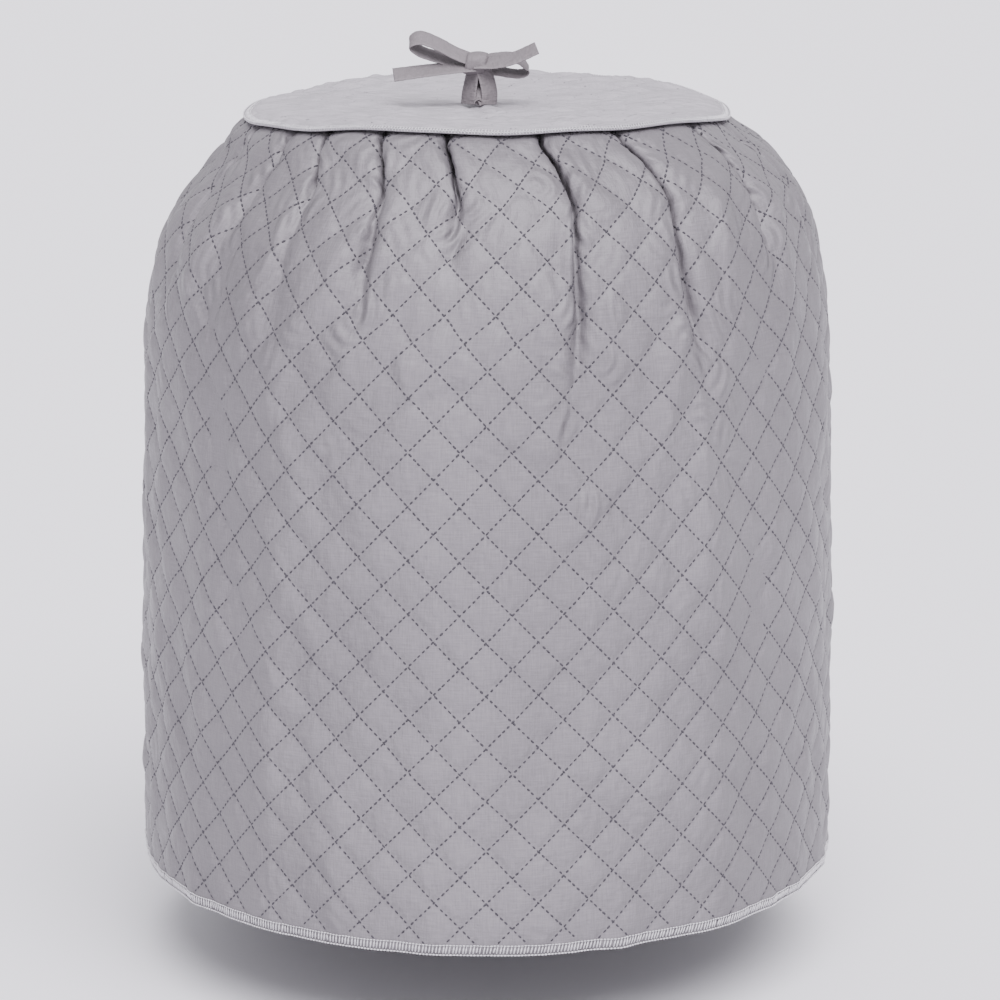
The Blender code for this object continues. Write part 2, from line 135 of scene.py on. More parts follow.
@dataclass(frozen=True)
class WovenPolyester:
    """Plain woven polyester with a satin face, quilted over thin wadding.

    The eye sees a soft sheen that breaks up along single thicker yarns, and small puckers
    that bend round inside the diamonds where the cloth is gathered. Real yarns are about
    0.25 mm apart and too fine to show, so they are drawn 0.7 mm apart. Painted shade is mixed
    into the colour: it darkens where the cloth turns away from the view, and it darkens in
    the crinkles' valleys and lightens on their crests.
    """

    name: str
    shade: str
    dark_shade: str
    yarn_m: float = 0.0007
    slub_m: float = 0.011
    crinkle_m: tuple[float, float] = (0.007, 0.010)
    roughness: float = 0.42
    specular: float = 0.35
    # painted shade: the colour is scaled down to this where the cloth is seen at a grazing angle
    grazing_painted_shade: float = 0.78
    painted_shade_from: float = 0.08
    painted_shade_to: float = 0.34
    crinkle_bump: float = 0.45
    # painted light and shade: how strongly the colour follows the crinkles
    crinkle_painted_shade: float = 0.3
    bend_m: float = 0.034
    bend_bump: float = 0.65
    pucker_m: float = 0.0075
    pucker_bump: float = 0.8
    pucker_lift: float = 16.0
    pucker_drift: tuple[float, float] = (0.035, 0.018)
    diamond: tuple[float, float] = (0.026, 0.027)

    def build(self) -> bpy.types.Material:
        """Make the material on the piece's own map, which is in metres of cloth."""
        material = bpy.data.materials.new(self.name)
        material.use_nodes = True
        tree = material.node_tree
        shader = tree.nodes["Principled BSDF"]
        place = add_node(tree, "ShaderNodeUVMap", {"uv_map": "cloth"}, {}).outputs["UV"]
        warp = self.stretched(tree, place, self.yarn_m, self.slub_m, 2.0)
        weft = self.stretched(tree, place, self.slub_m, self.yarn_m, 2.0)
        crinkle = self.stretched(tree, place, *self.crinkle_m, 4.0)
        cloud = self.stretched(tree, place, 0.09, 0.12, 3.0)
        yarns = self.math(tree, "ADD", warp, weft)
        # Painted light and shade: the crinkle noise that bumps the cloth also darkens its valleys and
        # lightens its crests in the colour. The yarns and the cloud are the cloth's own tone.
        painted_crinkle_shade = self.math(tree, "MULTIPLY", crinkle, self.crinkle_painted_shade)
        unevenness = self.math(tree, "ADD", self.math(tree, "ADD", yarns, cloud), painted_crinkle_shade)
        low_end, high_end = 1.0 + 0.35 * self.crinkle_painted_shade, 2.0 + 0.65 * self.crinkle_painted_shade
        level = add_node(
            tree,
            "ShaderNodeMapRange",
            {"From Min": low_end, "From Max": high_end},
            {"Value": unevenness},
        )
        ramp = add_node(tree, "ShaderNodeValToRGB", {}, {"Fac": level.outputs["Result"]})
        ramp.color_ramp.elements[0].color = linear(self.dark_shade)
        ramp.color_ramp.elements[1].color = linear(self.shade)
        rough = add_node(
            tree,
            "ShaderNodeMapRange",
            {
                "From Min": 0.8,
                "From Max": 1.2,
                "To Min": self.roughness - 0.07,
                "To Max": self.roughness + 0.09,
            },
            {"Value": yarns},
        )
        tree.links.new(rough.outputs["Result"], shader.inputs["Roughness"])
        weave = self.bump(tree, yarns, 0.22, 0.0004, None)
        crinkled = self.bump(tree, crinkle, self.crinkle_bump, 0.0016, weave)
        bends = self.stretched(tree, place, self.bend_m, self.bend_m * 1.7, 2.0, "RIDGED_MULTIFRACTAL")
        creases = self.bump(tree, bends, self.bend_bump, 0.0030, crinkled)
        puckers = self.bump(tree, self.pucker_height(tree, place), self.pucker_bump, 0.0012, creases)
        tree.links.new(puckers, shader.inputs["Normal"])
        # Painted shade: the base colour is darkened where the surface turns away from the view, which
        # makes the sides of the cover darker.
        facing = add_node(tree, "ShaderNodeLayerWeight", {"Blend": 0.5}, {"Normal": puckers})
        turned = add_node(
            tree,
            "ShaderNodeMapRange",
            {
                "From Min": self.painted_shade_from,
                "From Max": self.painted_shade_to,
                "To Min": 1.0,
                "To Max": self.grazing_painted_shade,
            },
            {"Value": facing.outputs["Facing"]},
        )
        tone = add_node(
            tree,
            "ShaderNodeVectorMath",
            {"operation": "SCALE"},
            {0: ramp.outputs["Color"], "Scale": turned.outputs["Result"]},
        )
        tree.links.new(tone.outputs["Vector"], shader.inputs["Base Color"])
        shader.inputs["Specular IOR Level"].default_value = self.specular
        return material

    @staticmethod
    def math(
        tree: bpy.types.NodeTree,
        operation: str,
        first: "bpy.types.NodeSocket | float",
        second: "bpy.types.NodeSocket | float" = 0.0,
    ) -> bpy.types.NodeSocket:
        """Combine two sockets or values and return the result's socket."""
        values = {0: first, 1: second}
        plain = {index: value for index, value in values.items() if isinstance(value, (int, float))}
        links = {index: value for index, value in values.items() if index not in plain}
        return add_node(tree, "ShaderNodeMath", {"operation": operation, **plain}, links).outputs[0]

    @staticmethod
    def bump(
        tree: bpy.types.NodeTree,
        height: bpy.types.NodeSocket,
        strength: float,
        distance: float,
        normal: "bpy.types.NodeSocket | None",
    ) -> bpy.types.NodeSocket:
        """Raise the surface by a height and return the new normal."""
        links = {"Height": height}
        if normal is not None:
            links["Normal"] = normal
        settings = {"Strength": strength, "Distance": distance}
        return add_node(tree, "ShaderNodeBump", settings, links).outputs["Normal"]

    @staticmethod
    def stretched(
        tree: bpy.types.NodeTree,
        place: bpy.types.NodeSocket,
        across: float,
        along: float,
        detail: float,
        kind: str = "FBM",
    ) -> bpy.types.NodeSocket:
        """Return noise with the given size across and along the cloth, in metres."""
        scaled = add_node(
            tree, "ShaderNodeMapping", {"Scale": (1 / across, 1 / along, 1.0)}, {"Vector": place}
        )
        settings = {
            "noise_dimensions": "2D",
            "noise_type": kind,
            "Scale": 1.0,
            "Detail": detail,
            "Roughness": 0.6,
        }
        noise = add_node(
            tree, "ShaderNodeTexNoise", settings, {"Vector": scaled.outputs["Vector"]}
        )
        return noise.outputs["Fac"]

    def pucker_height(
        self, tree: bpy.types.NodeTree, place: bpy.types.NodeSocket
    ) -> bpy.types.NodeSocket:
        """Return bent ripples inside each diamond, as strong as the cloth is gathered there."""
        width, height = self.diamond
        parts = add_node(tree, "ShaderNodeSeparateXYZ", {}, {"Vector": place}).outputs
        column = self.math(tree, "DIVIDE", parts["X"], width)
        row = self.math(tree, "DIVIDE", parts["Y"], height)
        rising = self.math(tree, "ADD", column, row)
        falling = self.math(tree, "SUBTRACT", column, row)
        rising_part = self.math(tree, "FRACT", rising)
        falling_part = self.math(tree, "FRACT", falling)
        cell = add_node(
            tree,
            "ShaderNodeCombineXYZ",
            {},
            {"X": self.math(tree, "FLOOR", rising), "Y": self.math(tree, "FLOOR", falling)},
        )
        chance = add_node(
            tree, "ShaderNodeTexWhiteNoise", {"noise_dimensions": "3D"}, {"Vector": cell.outputs[0]}
        )
        draws = add_node(tree, "ShaderNodeSeparateXYZ", {}, {"Vector": chance.outputs["Color"]}).outputs
        beside = self.math(
            tree, "MULTIPLY", self.math(tree, "ADD", rising_part, falling_part), width / 2
        )
        above = self.math(
            tree, "MULTIPLY", self.math(tree, "SUBTRACT", rising_part, falling_part), height / 2
        )
        drift_x, drift_y = self.pucker_drift
        moved_x = self.math(tree, "MULTIPLY", draws["X"], 2 * drift_x)
        moved_y = self.math(tree, "MULTIPLY", draws["Y"], 2 * drift_y)
        offset_x = self.math(tree, "SUBTRACT", beside, moved_x)
        offset_x = self.math(tree, "ADD", offset_x, drift_x - width / 2)
        offset_y = self.math(tree, "SUBTRACT", above, moved_y)
        offset_y = self.math(tree, "ADD", offset_y, drift_y)
        squared = self.math(
            tree,
            "ADD",
            self.math(tree, "MULTIPLY", offset_x, offset_x),
            self.math(tree, "MULTIPLY", offset_y, offset_y),
        )
        reach = self.math(tree, "SQRT", squared)
        wave = self.math(tree, "SINE", self.math(tree, "MULTIPLY", reach, FULL_TURN / self.pucker_m))
        fill = self.math(
            tree,
            "MULTIPLY",
            self.math(
                tree, "MULTIPLY", rising_part, self.math(tree, "SUBTRACT", 1.0, rising_part)
            ),
            self.math(
                tree, "MULTIPLY", falling_part, self.math(tree, "SUBTRACT", 1.0, falling_part)
            ),
        )
        strain = add_node(tree, "ShaderNodeAttribute", {"attribute_name": "strain"}, {}).outputs["Fac"]
        lift = self.math(tree, "MULTIPLY", draws["Z"], self.pucker_lift)
        strength = self.math(tree, "MULTIPLY", strain, lift)
        return self.math(tree, "MULTIPLY", self.math(tree, "MULTIPLY", wave, fill), strength)


@dataclass(frozen=True)
class SewingThread:
    """Spun polyester sewing thread: matt, uneven in tone along its twist.

    A real twist repeats about every 0.3 mm, too fine to show, so it is drawn at 0.6 mm.
    """

    name: str
    shade: str
    dark_shade: str
    twist_m: float = 0.0006

    def build(self) -> bpy.types.Material:
        """Make the material on object coordinates, because each stitch is tiny."""
        material = bpy.data.materials.new(self.name)
        material.use_nodes = True
        tree = material.node_tree
        shader = tree.nodes["Principled BSDF"]
        place = add_node(tree, "ShaderNodeTexCoord", {}, {}).outputs["Object"]
        fibre = add_node(
            tree,
            "ShaderNodeTexNoise",
            {"Scale": 1 / self.twist_m, "Detail": 1.0},
            {"Vector": place},
        )
        ramp = add_node(tree, "ShaderNodeValToRGB", {}, {"Fac": fibre.outputs["Fac"]})
        ramp.color_ramp.elements[0].position = 0.35
        ramp.color_ramp.elements[0].color = linear(self.dark_shade)
        ramp.color_ramp.elements[1].position = 0.65
        ramp.color_ramp.elements[1].color = linear(self.shade)
        tree.links.new(ramp.outputs["Color"], shader.inputs["Base Color"])
        bump = add_node(
            tree,
            "ShaderNodeBump",
            {"Strength": 0.3, "Distance": 0.0002},
            {"Height": fibre.outputs["Fac"]},
        )
        tree.links.new(bump.outputs["Normal"], shader.inputs["Normal"])
        shader.inputs["Roughness"].default_value = 0.7
        return material


@dataclass(frozen=True)
class PaperSweep:
    """Seamless studio paper: matt, pale and even."""

    name: str = "seamless_paper"
    shade: str = "#f7f6fa"

    def build(self) -> bpy.types.Material:
        """Make the paper with a faint grain in its roughness."""
        material = bpy.data.materials.new(self.name)
        material.use_nodes = True
        tree = material.node_tree
        shader = tree.nodes["Principled BSDF"]
        shader.inputs["Base Color"].default_value = linear(self.shade)
        place = add_node(tree, "ShaderNodeTexCoord", {}, {}).outputs["Object"]
        grain = add_node(tree, "ShaderNodeTexNoise", {"Scale": 300.0}, {"Vector": place})
        rough = add_node(
            tree,
            "ShaderNodeMapRange",
            {"To Min": 0.8, "To Max": 0.95},
            {"Value": grain.outputs["Fac"]},
        )
        tree.links.new(rough.outputs["Result"], shader.inputs["Roughness"])
        return material


@dataclass(frozen=True)
class Section:
    """One place on the skirt's section: radius, and depth below the lid's underside."""

    radius: float
    depth: float


@dataclass(frozen=True)
class Fold:
    """One fold that takes in spare cloth.

    The angle is in degrees from the front, positive to the right. The share sets the depth
    beside the other folds. Width, start and reach are metres of cloth down from the tucked
    edge, and the drift is how far the fold turns sideways over its reach, in degrees.
    """

    angle: float
    share: float
    width: float
    start: float
    reach: float
    drift: float


@dataclass(frozen=True)
class Droop:
    """How one end of the lid hangs down: how far, and how suddenly towards the rim."""

    depth: float
    power: float


@dataclass(frozen=True)
class Crease:
    """One soft trough or ridge in the cloth.

    The angle is in degrees from the front and the height in metres up from the hem, both at
    its middle. The slant is in degrees from upright, leaning right. Positive relief is a ridge.
    """

    angle: float
    height: float
    slant: float
    length: float
    width: float
    relief: float


@dataclass
class Quilting:
    """The diamonds that the stitched lines make, and how the wadding fills them."""

    width: float = 0.026
    height: float = 0.027
    around: int = 45
    pillow: float = 0.0013
    thickness: float = 0.0022
    stitch_pitch: float = 0.0033

    @property
    def cloth_around(self) -> float:
        """The length of the cloth round the skirt."""
        return self.width * self.around

    def raised(self, across: np.ndarray, up: np.ndarray) -> np.ndarray:
        """Return how far the wadding lifts the cloth: nothing on the stitched lines."""
        rising = np.mod(across / self.width + up / self.height, 1.0)
        falling = np.mod(across / self.width - up / self.height, 1.0)
        fill = 16 * rising * (1 - rising) * falling * (1 - falling)
        return self.pillow * np.power(np.maximum(fill, 0.0), 0.45)

    def on_seam(self, across: float, up: float) -> bool:
        """Tell whether a place on the cloth lies on a stitched line."""
        rising = (across / self.width + up / self.height + 0.5) % 1.0 - 0.5
        falling = (across / self.width - up / self.height + 0.5) % 1.0 - 0.5
        return min(abs(rising), abs(falling)) < 0.02


@dataclass
class HangingForm:
    """The form in which the cover rests on its cylinder, shared by the skirt and the lid."""

    lid_radius: float = 0.1277
    lid_sag: float = 0.0045
    sag_from: float = 0.020
    sag_to: float = 0.112
    left_droop: Droop = Droop(0.0068, 2.4)
    right_droop: Droop = Droop(0.0058, 5.0)
    rim_wave: float = 0.0006
    rim_wave_reach: float = 0.030
    settle_depth: float = 0.060
    lean: float = 0.0045
    lean_depth: float = 0.022
    lean_reach: float = 0.030

    def settle(self, x: np.ndarray, y: np.ndarray, z: np.ndarray) -> np.ndarray:
        """Let the lid's ends droop, its rim wave and the shoulder lean."""
        reach = np.hypot(x, y)
        turn = np.arctan2(x, -y)
        near_lid = smooth_step(-self.settle_depth, 0.0, z)
        out = np.minimum(np.abs(x) / self.lid_radius, 1.0)
        left = self.left_droop.depth * out**self.left_droop.power
        right = self.right_droop.depth * out**self.right_droop.power
        droop = np.where(x < 0.0, left, right)
        wave = np.sin(5 * turn + 0.6) + 0.7 * np.sin(9 * turn + 2.1) + 0.4 * np.sin(14 * turn)
        rim = smooth_step(self.lid_radius - self.rim_wave_reach, self.lid_radius, reach)
        lean = self.lean * np.exp(-(((-z - self.lean_depth) / self.lean_reach) ** 2))
        lean = lean * smooth_step(0.0, 0.012, -z)
        level = z - (droop + self.rim_wave * rim * wave) * near_lid
        return np.stack((x + lean, y, level), axis=-1)

    def sag(self, reach: np.ndarray) -> np.ndarray:
        """Return how far the lid's underside stands above its middle."""
        return self.lid_sag * smooth_step(self.sag_from, self.sag_to, reach)


@dataclass
class Surface:
    """Cloth that stitches and threads can be laid on, given by a function of the chart."""

    place: Callable[[np.ndarray, np.ndarray], np.ndarray]
    reach: float = 0.0005

    def at(self, across: np.ndarray, up: np.ndarray) -> tuple[np.ndarray, np.ndarray]:
        """Find places on the cloth.

        Args:
            across: Metres of cloth from the middle of the front, positive to the right.
            up: Metres of cloth up from the lower edge, or in from the rim.

        Returns:
            The points and the outward directions there.
        """
        points = self.place(across, up)
        right = self.place(across + self.reach, up) - self.place(across - self.reach, up)
        rise = self.place(across, up + self.reach) - self.place(across, up - self.reach)
        return points, unit(np.cross(right, rise))


def unit(vectors: np.ndarray) -> np.ndarray:
    """Scale vectors to a length of one."""
    return vectors / np.maximum(np.linalg.norm(vectors, axis=-1, keepdims=True), 1e-12)


def chart_grid(across: tuple[float, float, int], up: tuple[float, float, int]) -> bmesh.types.BMesh:
    """Make a flat grid whose x and y are places on the cloth, at even steps.

    Args:
        across: First and last place across and the count of steps.
        up: First and last place up and the count of steps.

    Returns:
        The flat grid.
    """
    model = bmesh.new()
    bmesh.ops.create_grid(model, x_segments=across[2], y_segments=up[2], size=1.0)
    bmesh.ops.scale(
        model, vec=((across[1] - across[0]) / 2, (up[1] - up[0]) / 2, 1.0), verts=model.verts
    )
    middle = ((across[0] + across[1]) / 2, (up[0] + up[1]) / 2, 0.0)
    bmesh.ops.translate(model, vec=middle, verts=model.verts)
    return model


def lay_chart(
    name: str,
    chart: bmesh.types.BMesh,
    place: Callable[[np.ndarray, np.ndarray], np.ndarray],
    strain: "Callable[[np.ndarray, np.ndarray], np.ndarray] | None" = None,
    inside: bool = False,
) -> bmesh.types.BMesh:
    """Bend a flat chart to its form and keep the chart as its map in metres of cloth.

    Args:
        name: Name for the mesh while it is made.
        chart: The flat grid, which is bent.
        place: Gives the points of the form from places on the chart.
        strain: Gives how hard the cloth is gathered there, if it is.
        inside: Whether the faces point inwards.

    Returns:
        The bent model, closed where its edges meet.
    """
    mesh = bpy.data.meshes.new(name)
    chart.to_mesh(mesh)
    flat = np.empty(len(mesh.vertices) * 3)
    mesh.vertices.foreach_get("co", flat)
    across, up = flat.reshape(-1, 3)[:, 0], flat.reshape(-1, 3)[:, 1]
    mesh.vertices.foreach_set("co", place(across, up).ravel())
    corners = np.empty(len(mesh.loops), dtype=int)
    mesh.loops.foreach_get("vertex_index", corners)
    layer = mesh.uv_layers.new(name="cloth")
    layer.data.foreach_set("uv", np.stack((across, up), axis=-1)[corners].ravel())
    pull = mesh.attributes.new("strain", "FLOAT", "POINT")
    pull.data.foreach_set("value", np.zeros_like(across) if strain is None else strain(across, up))
    chart.clear()
    chart.from_mesh(mesh)
    bpy.data.meshes.remove(mesh)
    bmesh.ops.remove_doubles(chart, verts=chart.verts, dist=0.000005)
    if inside:
        bmesh.ops.reverse_faces(chart, faces=chart.faces)
    return chart


def joined(first: bmesh.types.BMesh, second: bmesh.types.BMesh) -> bmesh.types.BMesh:
    """Put the second model's faces into the first one and free the second."""
    mesh = bpy.data.meshes.new("joining")
    second.to_mesh(mesh)
    second.free()
    first.from_mesh(mesh)
    bpy.data.meshes.remove(mesh)
    return first


def finish_piece(
    name: str, model: bmesh.types.BMesh, material: bpy.types.Material
) -> bpy.types.Object:
    """Turn a model into a smooth piece that rides with the cover.

    Args:
        name: Name of the piece.
        model: Its finished shape, which is freed.
        material: Its finish.

    Returns:
        The new object.
    """
    mesh = bpy.data.meshes.new(name)
    model.to_mesh(mesh)
    model.free()
    mesh.shade_smooth()
    mesh.materials.append(material)
    piece = bpy.data.objects.new(name, mesh)
    bpy.context.scene.collection.objects.link(piece)
    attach(piece, "root")
    LOG.info("%s: %d faces", name, len(mesh.polygons))
    return piece


def threads_on(
    name: str,
    centres: np.ndarray,
    along: np.ndarray,
    outward: np.ndarray,
    sizes: np.ndarray,
    material: bpy.types.Material,
) -> bpy.types.Object:
    """Lay many short lengths of thread, each a small rounded body, as one joined mesh.

    Args:
        name: Name of the piece.
        centres: Middle of each length.
        along: Direction of each length.
        outward: Direction out of the cloth at each length.
        sizes: Length, width and height of each one.
        material: The thread's finish.

    Returns:
        The new object.
    """
    pattern = bmesh.new()
    bmesh.ops.create_icosphere(pattern, subdivisions=1, radius=0.5)
    corners = np.array([vert.co[:] for vert in pattern.verts])
    faces = np.array([[vert.index for vert in face.verts] for face in pattern.faces])
    pattern.free()
    side = unit(np.cross(outward, along))
    ahead = unit(np.cross(side, outward))
    axes = np.stack((ahead, side, outward), axis=1)
    local = corners[None] * sizes[:, None]
    places = np.einsum("nki,nij->nkj", local, axes) + centres[:, None]
    count = len(centres)
    mesh = bpy.data.meshes.new(name)
    mesh.vertices.add(count * len(corners))
    mesh.vertices.foreach_set("co", places.ravel())
    indices = (faces[None] + np.arange(count)[:, None, None] * len(corners)).reshape(-1)
    mesh.loops.add(len(indices))
    mesh.loops.foreach_set("vertex_index", indices)
    mesh.polygons.add(count * len(faces))
    mesh.polygons.foreach_set("loop_start", np.arange(0, len(indices), 3))
    mesh.update(calc_edges=True)
    model = bmesh.new()
    model.from_mesh(mesh)
    bpy.data.meshes.remove(mesh)
    return finish_piece(name, model, material)


@dataclass
class Overlock:
    """An overlocked edge: threads that cross it, loops round it and a needle line."""

    pitch: float = 0.0017
    width: float = 0.0050
    thread: float = 0.00080
    slant: float = 0.0009
    wall: float = 0.0020

    def lay(
        self,
        name: str,
        surface: Surface,
        across: np.ndarray,
        inwards: float,
        material: bpy.types.Material,
        slot: Slot,
    ) -> bpy.types.Object:
        """Sew the edge of a surface.

        Args:
            name: Name of the piece.
            surface: The cloth.
            across: Places along the edge, in metres of cloth.
            inwards: 1 or -1, the way in which the threads slant.
            material: The thread's finish.
            slot: The record's material slot; not used.

        Returns:
            The sewn threads as one piece.
        """
        rng = np.random.default_rng(SEED + 3)
        lean = self.slant * inwards
        wobble = rng.normal(0.0, 0.00012, len(across))
        edge = np.zeros_like(across)
        bands = (
            (across + wobble, edge + self.width * 0.04, lean, self.width * 0.96, 1.15, 1.0),
            (across + wobble, edge - self.wall, 0.0, self.wall * 1.1, 1.15, 1.0),
            (across, edge, self.pitch, 0.0, 1.1, 1.2),
            (across, edge + self.width, self.pitch, 0.0, 0.9, 0.9),
        )
        centres, directions, outs, sizes = [], [], [], []
        for start_across, start_in, step_across, step_in, broad, high in bands:
            start, out = surface.at(start_across, start_in)
            end, end_out = surface.at(start_across + step_across, start_in + step_in)
            length = np.linalg.norm(end - start, axis=1) * rng.uniform(1.0, 1.12, len(across))
            spread = rng.uniform(0.9, 1.1, len(across)) * self.thread
            centres.append((start + end) / 2 + unit(out + end_out) * self.thread * 0.35)
            directions.append(unit(end - start))
            outs.append(unit(out + end_out))
            sizes.append(np.stack((length, spread * broad, spread * high), axis=-1))
        return threads_on(
            name,
            np.concatenate(centres),
            np.concatenate(directions),
            np.concatenate(outs),
            np.concatenate(sizes),
            material,
        )


@dataclass
class Skirt:
    """The gathered tube of quilted cloth with its stitches and overlocked hem."""

    form: HangingForm
    quilting: Quilting
    sections: tuple[Section, ...] = (
        Section(0.1180, -0.0037),
        Section(0.1265, -0.0027),
        Section(0.1355, 0.0043),
        Section(0.1466, 0.0160),
        Section(0.1597, 0.0347),
        Section(0.1714, 0.0580),
        Section(0.1800, 0.0905),
        Section(0.1834, 0.1285),
        Section(0.1864, 0.2555),
        Section(0.1878, 0.4010),
    )
    folds: tuple[Fold, ...] = (
        Fold(-171.0, 1.00, 0.0085, 0.0, 0.15, 3.0),
        Fold(-151.0, 1.15, 0.0090, 0.0, 0.21, -5.0),
        Fold(-131.5, 0.90, 0.0080, 0.0, 0.13, 2.0),
        Fold(-112.0, 1.10, 0.0090, 0.0, 0.18, -4.0),
        Fold(-92.5, 0.95, 0.0085, 0.0, 0.13, -3.0),
        Fold(-71.0, 1.10, 0.0090, 0.0, 0.15, 4.0),
        Fold(-52.0, 0.85, 0.0085, 0.0, 0.12, -2.0),
        Fold(-39.5, 0.80, 0.0080, 0.0, 0.13, 3.0),
        Fold(-23.5, 0.95, 0.0085, 0.0, 0.16, 3.0),
        Fold(-7.6, 0.95, 0.0080, 0.0, 0.12, 0.0),
        Fold(13.0, 1.10, 0.0090, 0.0, 0.23, 3.0),
        Fold(32.0, 1.10, 0.0090, 0.0, 0.24, 9.0),
        Fold(56.0, 1.20, 0.0090, 0.0, 0.12, 3.0),
        Fold(75.0, 1.05, 0.0085, 0.0, 0.13, 4.0),
        Fold(94.0, 1.00, 0.0085, 0.0, 0.17, -3.0),
        Fold(113.0, 1.15, 0.0090, 0.0, 0.14, 2.0),
        Fold(132.5, 0.95, 0.0085, 0.0, 0.20, 5.0),
        Fold(151.0, 1.05, 0.0085, 0.0, 0.13, -3.0),
        Fold(169.5, 1.00, 0.0085, 0.0, 0.17, 2.0),
        Fold(-128.0, 0.55, 0.0300, 0.08, 0.30, 6.0),
        Fold(-84.0, 0.40, 0.0300, 0.08, 0.26, 4.0),
        Fold(-55.0, 0.55, 0.0300, 0.08, 0.30, -7.0),
        Fold(-14.0, 0.55, 0.0240, 0.08, 0.20, 24.0),
        Fold(44.0, 0.50, 0.0280, 0.10, 0.28, 5.0),
        Fold(84.0, 0.45, 0.0280, 0.08, 0.30, -6.0),
        Fold(118.0, 0.45, 0.0280, 0.08, 0.28, 4.0),
        Fold(158.0, 0.50, 0.0300, 0.08, 0.30, 7.0),
    )
    creases: tuple[Crease, ...] = (
        Crease(-34.0, 0.215, 2.0, 0.300, 0.030, 0.0017),
        Crease(38.0, 0.180, -1.0, 0.330, 0.030, 0.0016),
        Crease(-47.0, 0.240, -6.0, 0.200, 0.034, -0.0014),
        Crease(51.0, 0.215, 5.0, 0.220, 0.034, -0.0013),
        Crease(-20.5, 0.335, 9.0, 0.110, 0.012, 0.0016),
        Crease(-11.8, 0.322, 4.0, 0.034, 0.006, 0.0011),
        Crease(-12.6, 0.292, -14.0, 0.040, 0.010, 0.0017),
        Crease(-9.0, 0.282, 74.0, 0.042, 0.010, -0.0015),
        Crease(-16.5, 0.342, 78.0, 0.024, 0.006, -0.0008),
        Crease(-23.5, 0.366, 40.0, 0.022, 0.007, 0.0012),
        Crease(-22.0, 0.352, 30.0, 0.026, 0.007, -0.0012),
        Crease(-28.0, 0.331, 16.0, 0.060, 0.014, 0.0013),
        Crease(-31.0, 0.296, 14.0, 0.070, 0.016, -0.0012),
        Crease(-7.8, 0.352, 8.0, 0.046, 0.007, 0.0013),
        Crease(-6.4, 0.362, 24.0, 0.036, 0.006, -0.0012),
        Crease(9.8, 0.356, 2.0, 0.040, 0.007, -0.0013),
        Crease(11.6, 0.356, -3.0, 0.036, 0.006, 0.0012),
        Crease(15.2, 0.290, 6.0, 0.060, 0.009, 0.0014),
        Crease(13.6, 0.284, 6.0, 0.066, 0.011, -0.0016),
        Crease(21.0, 0.330, 10.0, 0.060, 0.012, 0.0012),
        Crease(27.0, 0.300, 16.0, 0.080, 0.014, -0.0012),
        Crease(31.0, 0.290, 12.0, 0.080, 0.014, 0.0012),
        Crease(3.6, 0.316, 60.0, 0.030, 0.009, 0.0009),
        Crease(5.0, 0.262, -70.0, 0.046, 0.012, 0.0009),
        Crease(-3.0, 0.244, 62.0, 0.060, 0.014, -0.0009),
        Crease(18.0, 0.230, 40.0, 0.050, 0.013, 0.0009),
        Crease(-24.0, 0.244, -38.0, 0.060, 0.014, 0.0009),
        Crease(-41.0, 0.330, 12.0, 0.090, 0.016, 0.0014),
        Crease(-50.0, 0.345, 10.0, 0.070, 0.014, -0.0013),
        Crease(-58.0, 0.345, 6.0, 0.070, 0.014, 0.0013),
        Crease(45.0, 0.350, -6.0, 0.070, 0.013, 0.0014),
        Crease(62.0, 0.345, 4.0, 0.080, 0.015, 0.0013),
        Crease(70.0, 0.330, -5.0, 0.080, 0.015, -0.0012),
        Crease(-2.0, 0.130, 5.0, 0.140, 0.040, 0.0008),
        Crease(-20.0, 0.110, -6.0, 0.120, 0.040, -0.0008),
        Crease(20.0, 0.100, 4.0, 0.130, 0.040, -0.0007),
    )
    fold_narrowing: float = 0.5
    fold_spread: float = 0.9
    fold_rise: float = 0.30
    fold_hold: float = 0.35
    deepest_fold: float = 0.021
    shallow_fold: float = 0.0045
    shallow_from: float = 0.03
    shallow_to: float = 0.14
    flat_from: float = 0.38
    tightest_cloth: float = 0.15
    soft_wave: float = 0.0007
    crease_strength: float = 1.5
    crease_sharpness: float = 3.4
    crumple_height: float = 0.00058
    crumple_layers: int = 14
    quilt_shrink: float = 0.012
    gather_pucker: float = 0.05
    pucker_from: float = 0.03
    pucker_to: float = 0.14
    steps_around: int = 1440
    steps_up: int = 320
    cells_per_half: int = 5
    inner_columns: int = 225
    inner_rows: int = 46
    narrow_fold: float = 0.012
    fold_patch: tuple[float, float] = (0.0075, 0.65)
    slot_width: float = 0.006
    slot_pull: float = 0.85
    loose_strain: float = 0.16
    fold_strain: float = 0.9
    strain_width: float = 0.027
    stitch: tuple[float, float, float] = (0.0024, 0.00115, 0.00055)
    stitch_proud: float = 0.00012
    surface: Surface = field(init=False, repr=False, default=None)

    def __post_init__(self) -> None:
        """Work out the section's length up the cloth."""
        rows = [(section.radius, section.depth) for section in reversed(self.sections)]
        curve = curve_through(rows, 24)
        lengths = np.hypot(*np.diff(curve, axis=0).T)
        self.profile_up = np.concatenate(([0.0], np.cumsum(lengths)))
        self.profile_radius = curve[:, 0]
        self.profile_depth = curve[:, 1]
        self.length = float(self.profile_up[-1])
        self.levels = np.linspace(0.0, self.length, self.steps_up)
        rows = [self.gather_row(up) for up in self.levels]
        self.around = rows[0][0]
        self.angles = np.stack([row[1] for row in rows])
        self.dips = np.stack([row[2] for row in rows])
        self.profile = np.stack([self.profile_at(up) for up in self.levels])
        self.surface = Surface(self.outside)

    def profile_at(self, up: float) -> tuple[float, float, float, float]:
        """Return radius, height and the outward direction (radial, vertical) at a height."""
        reach = 0.002
        span = (max(up - reach, 0.0), up, min(up + reach, self.length))
        radius = np.interp(span, self.profile_up, self.profile_radius)
        height = -np.interp(span, self.profile_up, self.profile_depth)
        run = Vector((radius[2] - radius[0], height[2] - height[0])).normalized()
        return float(radius[1]), float(height[1]), run.y, -run.x

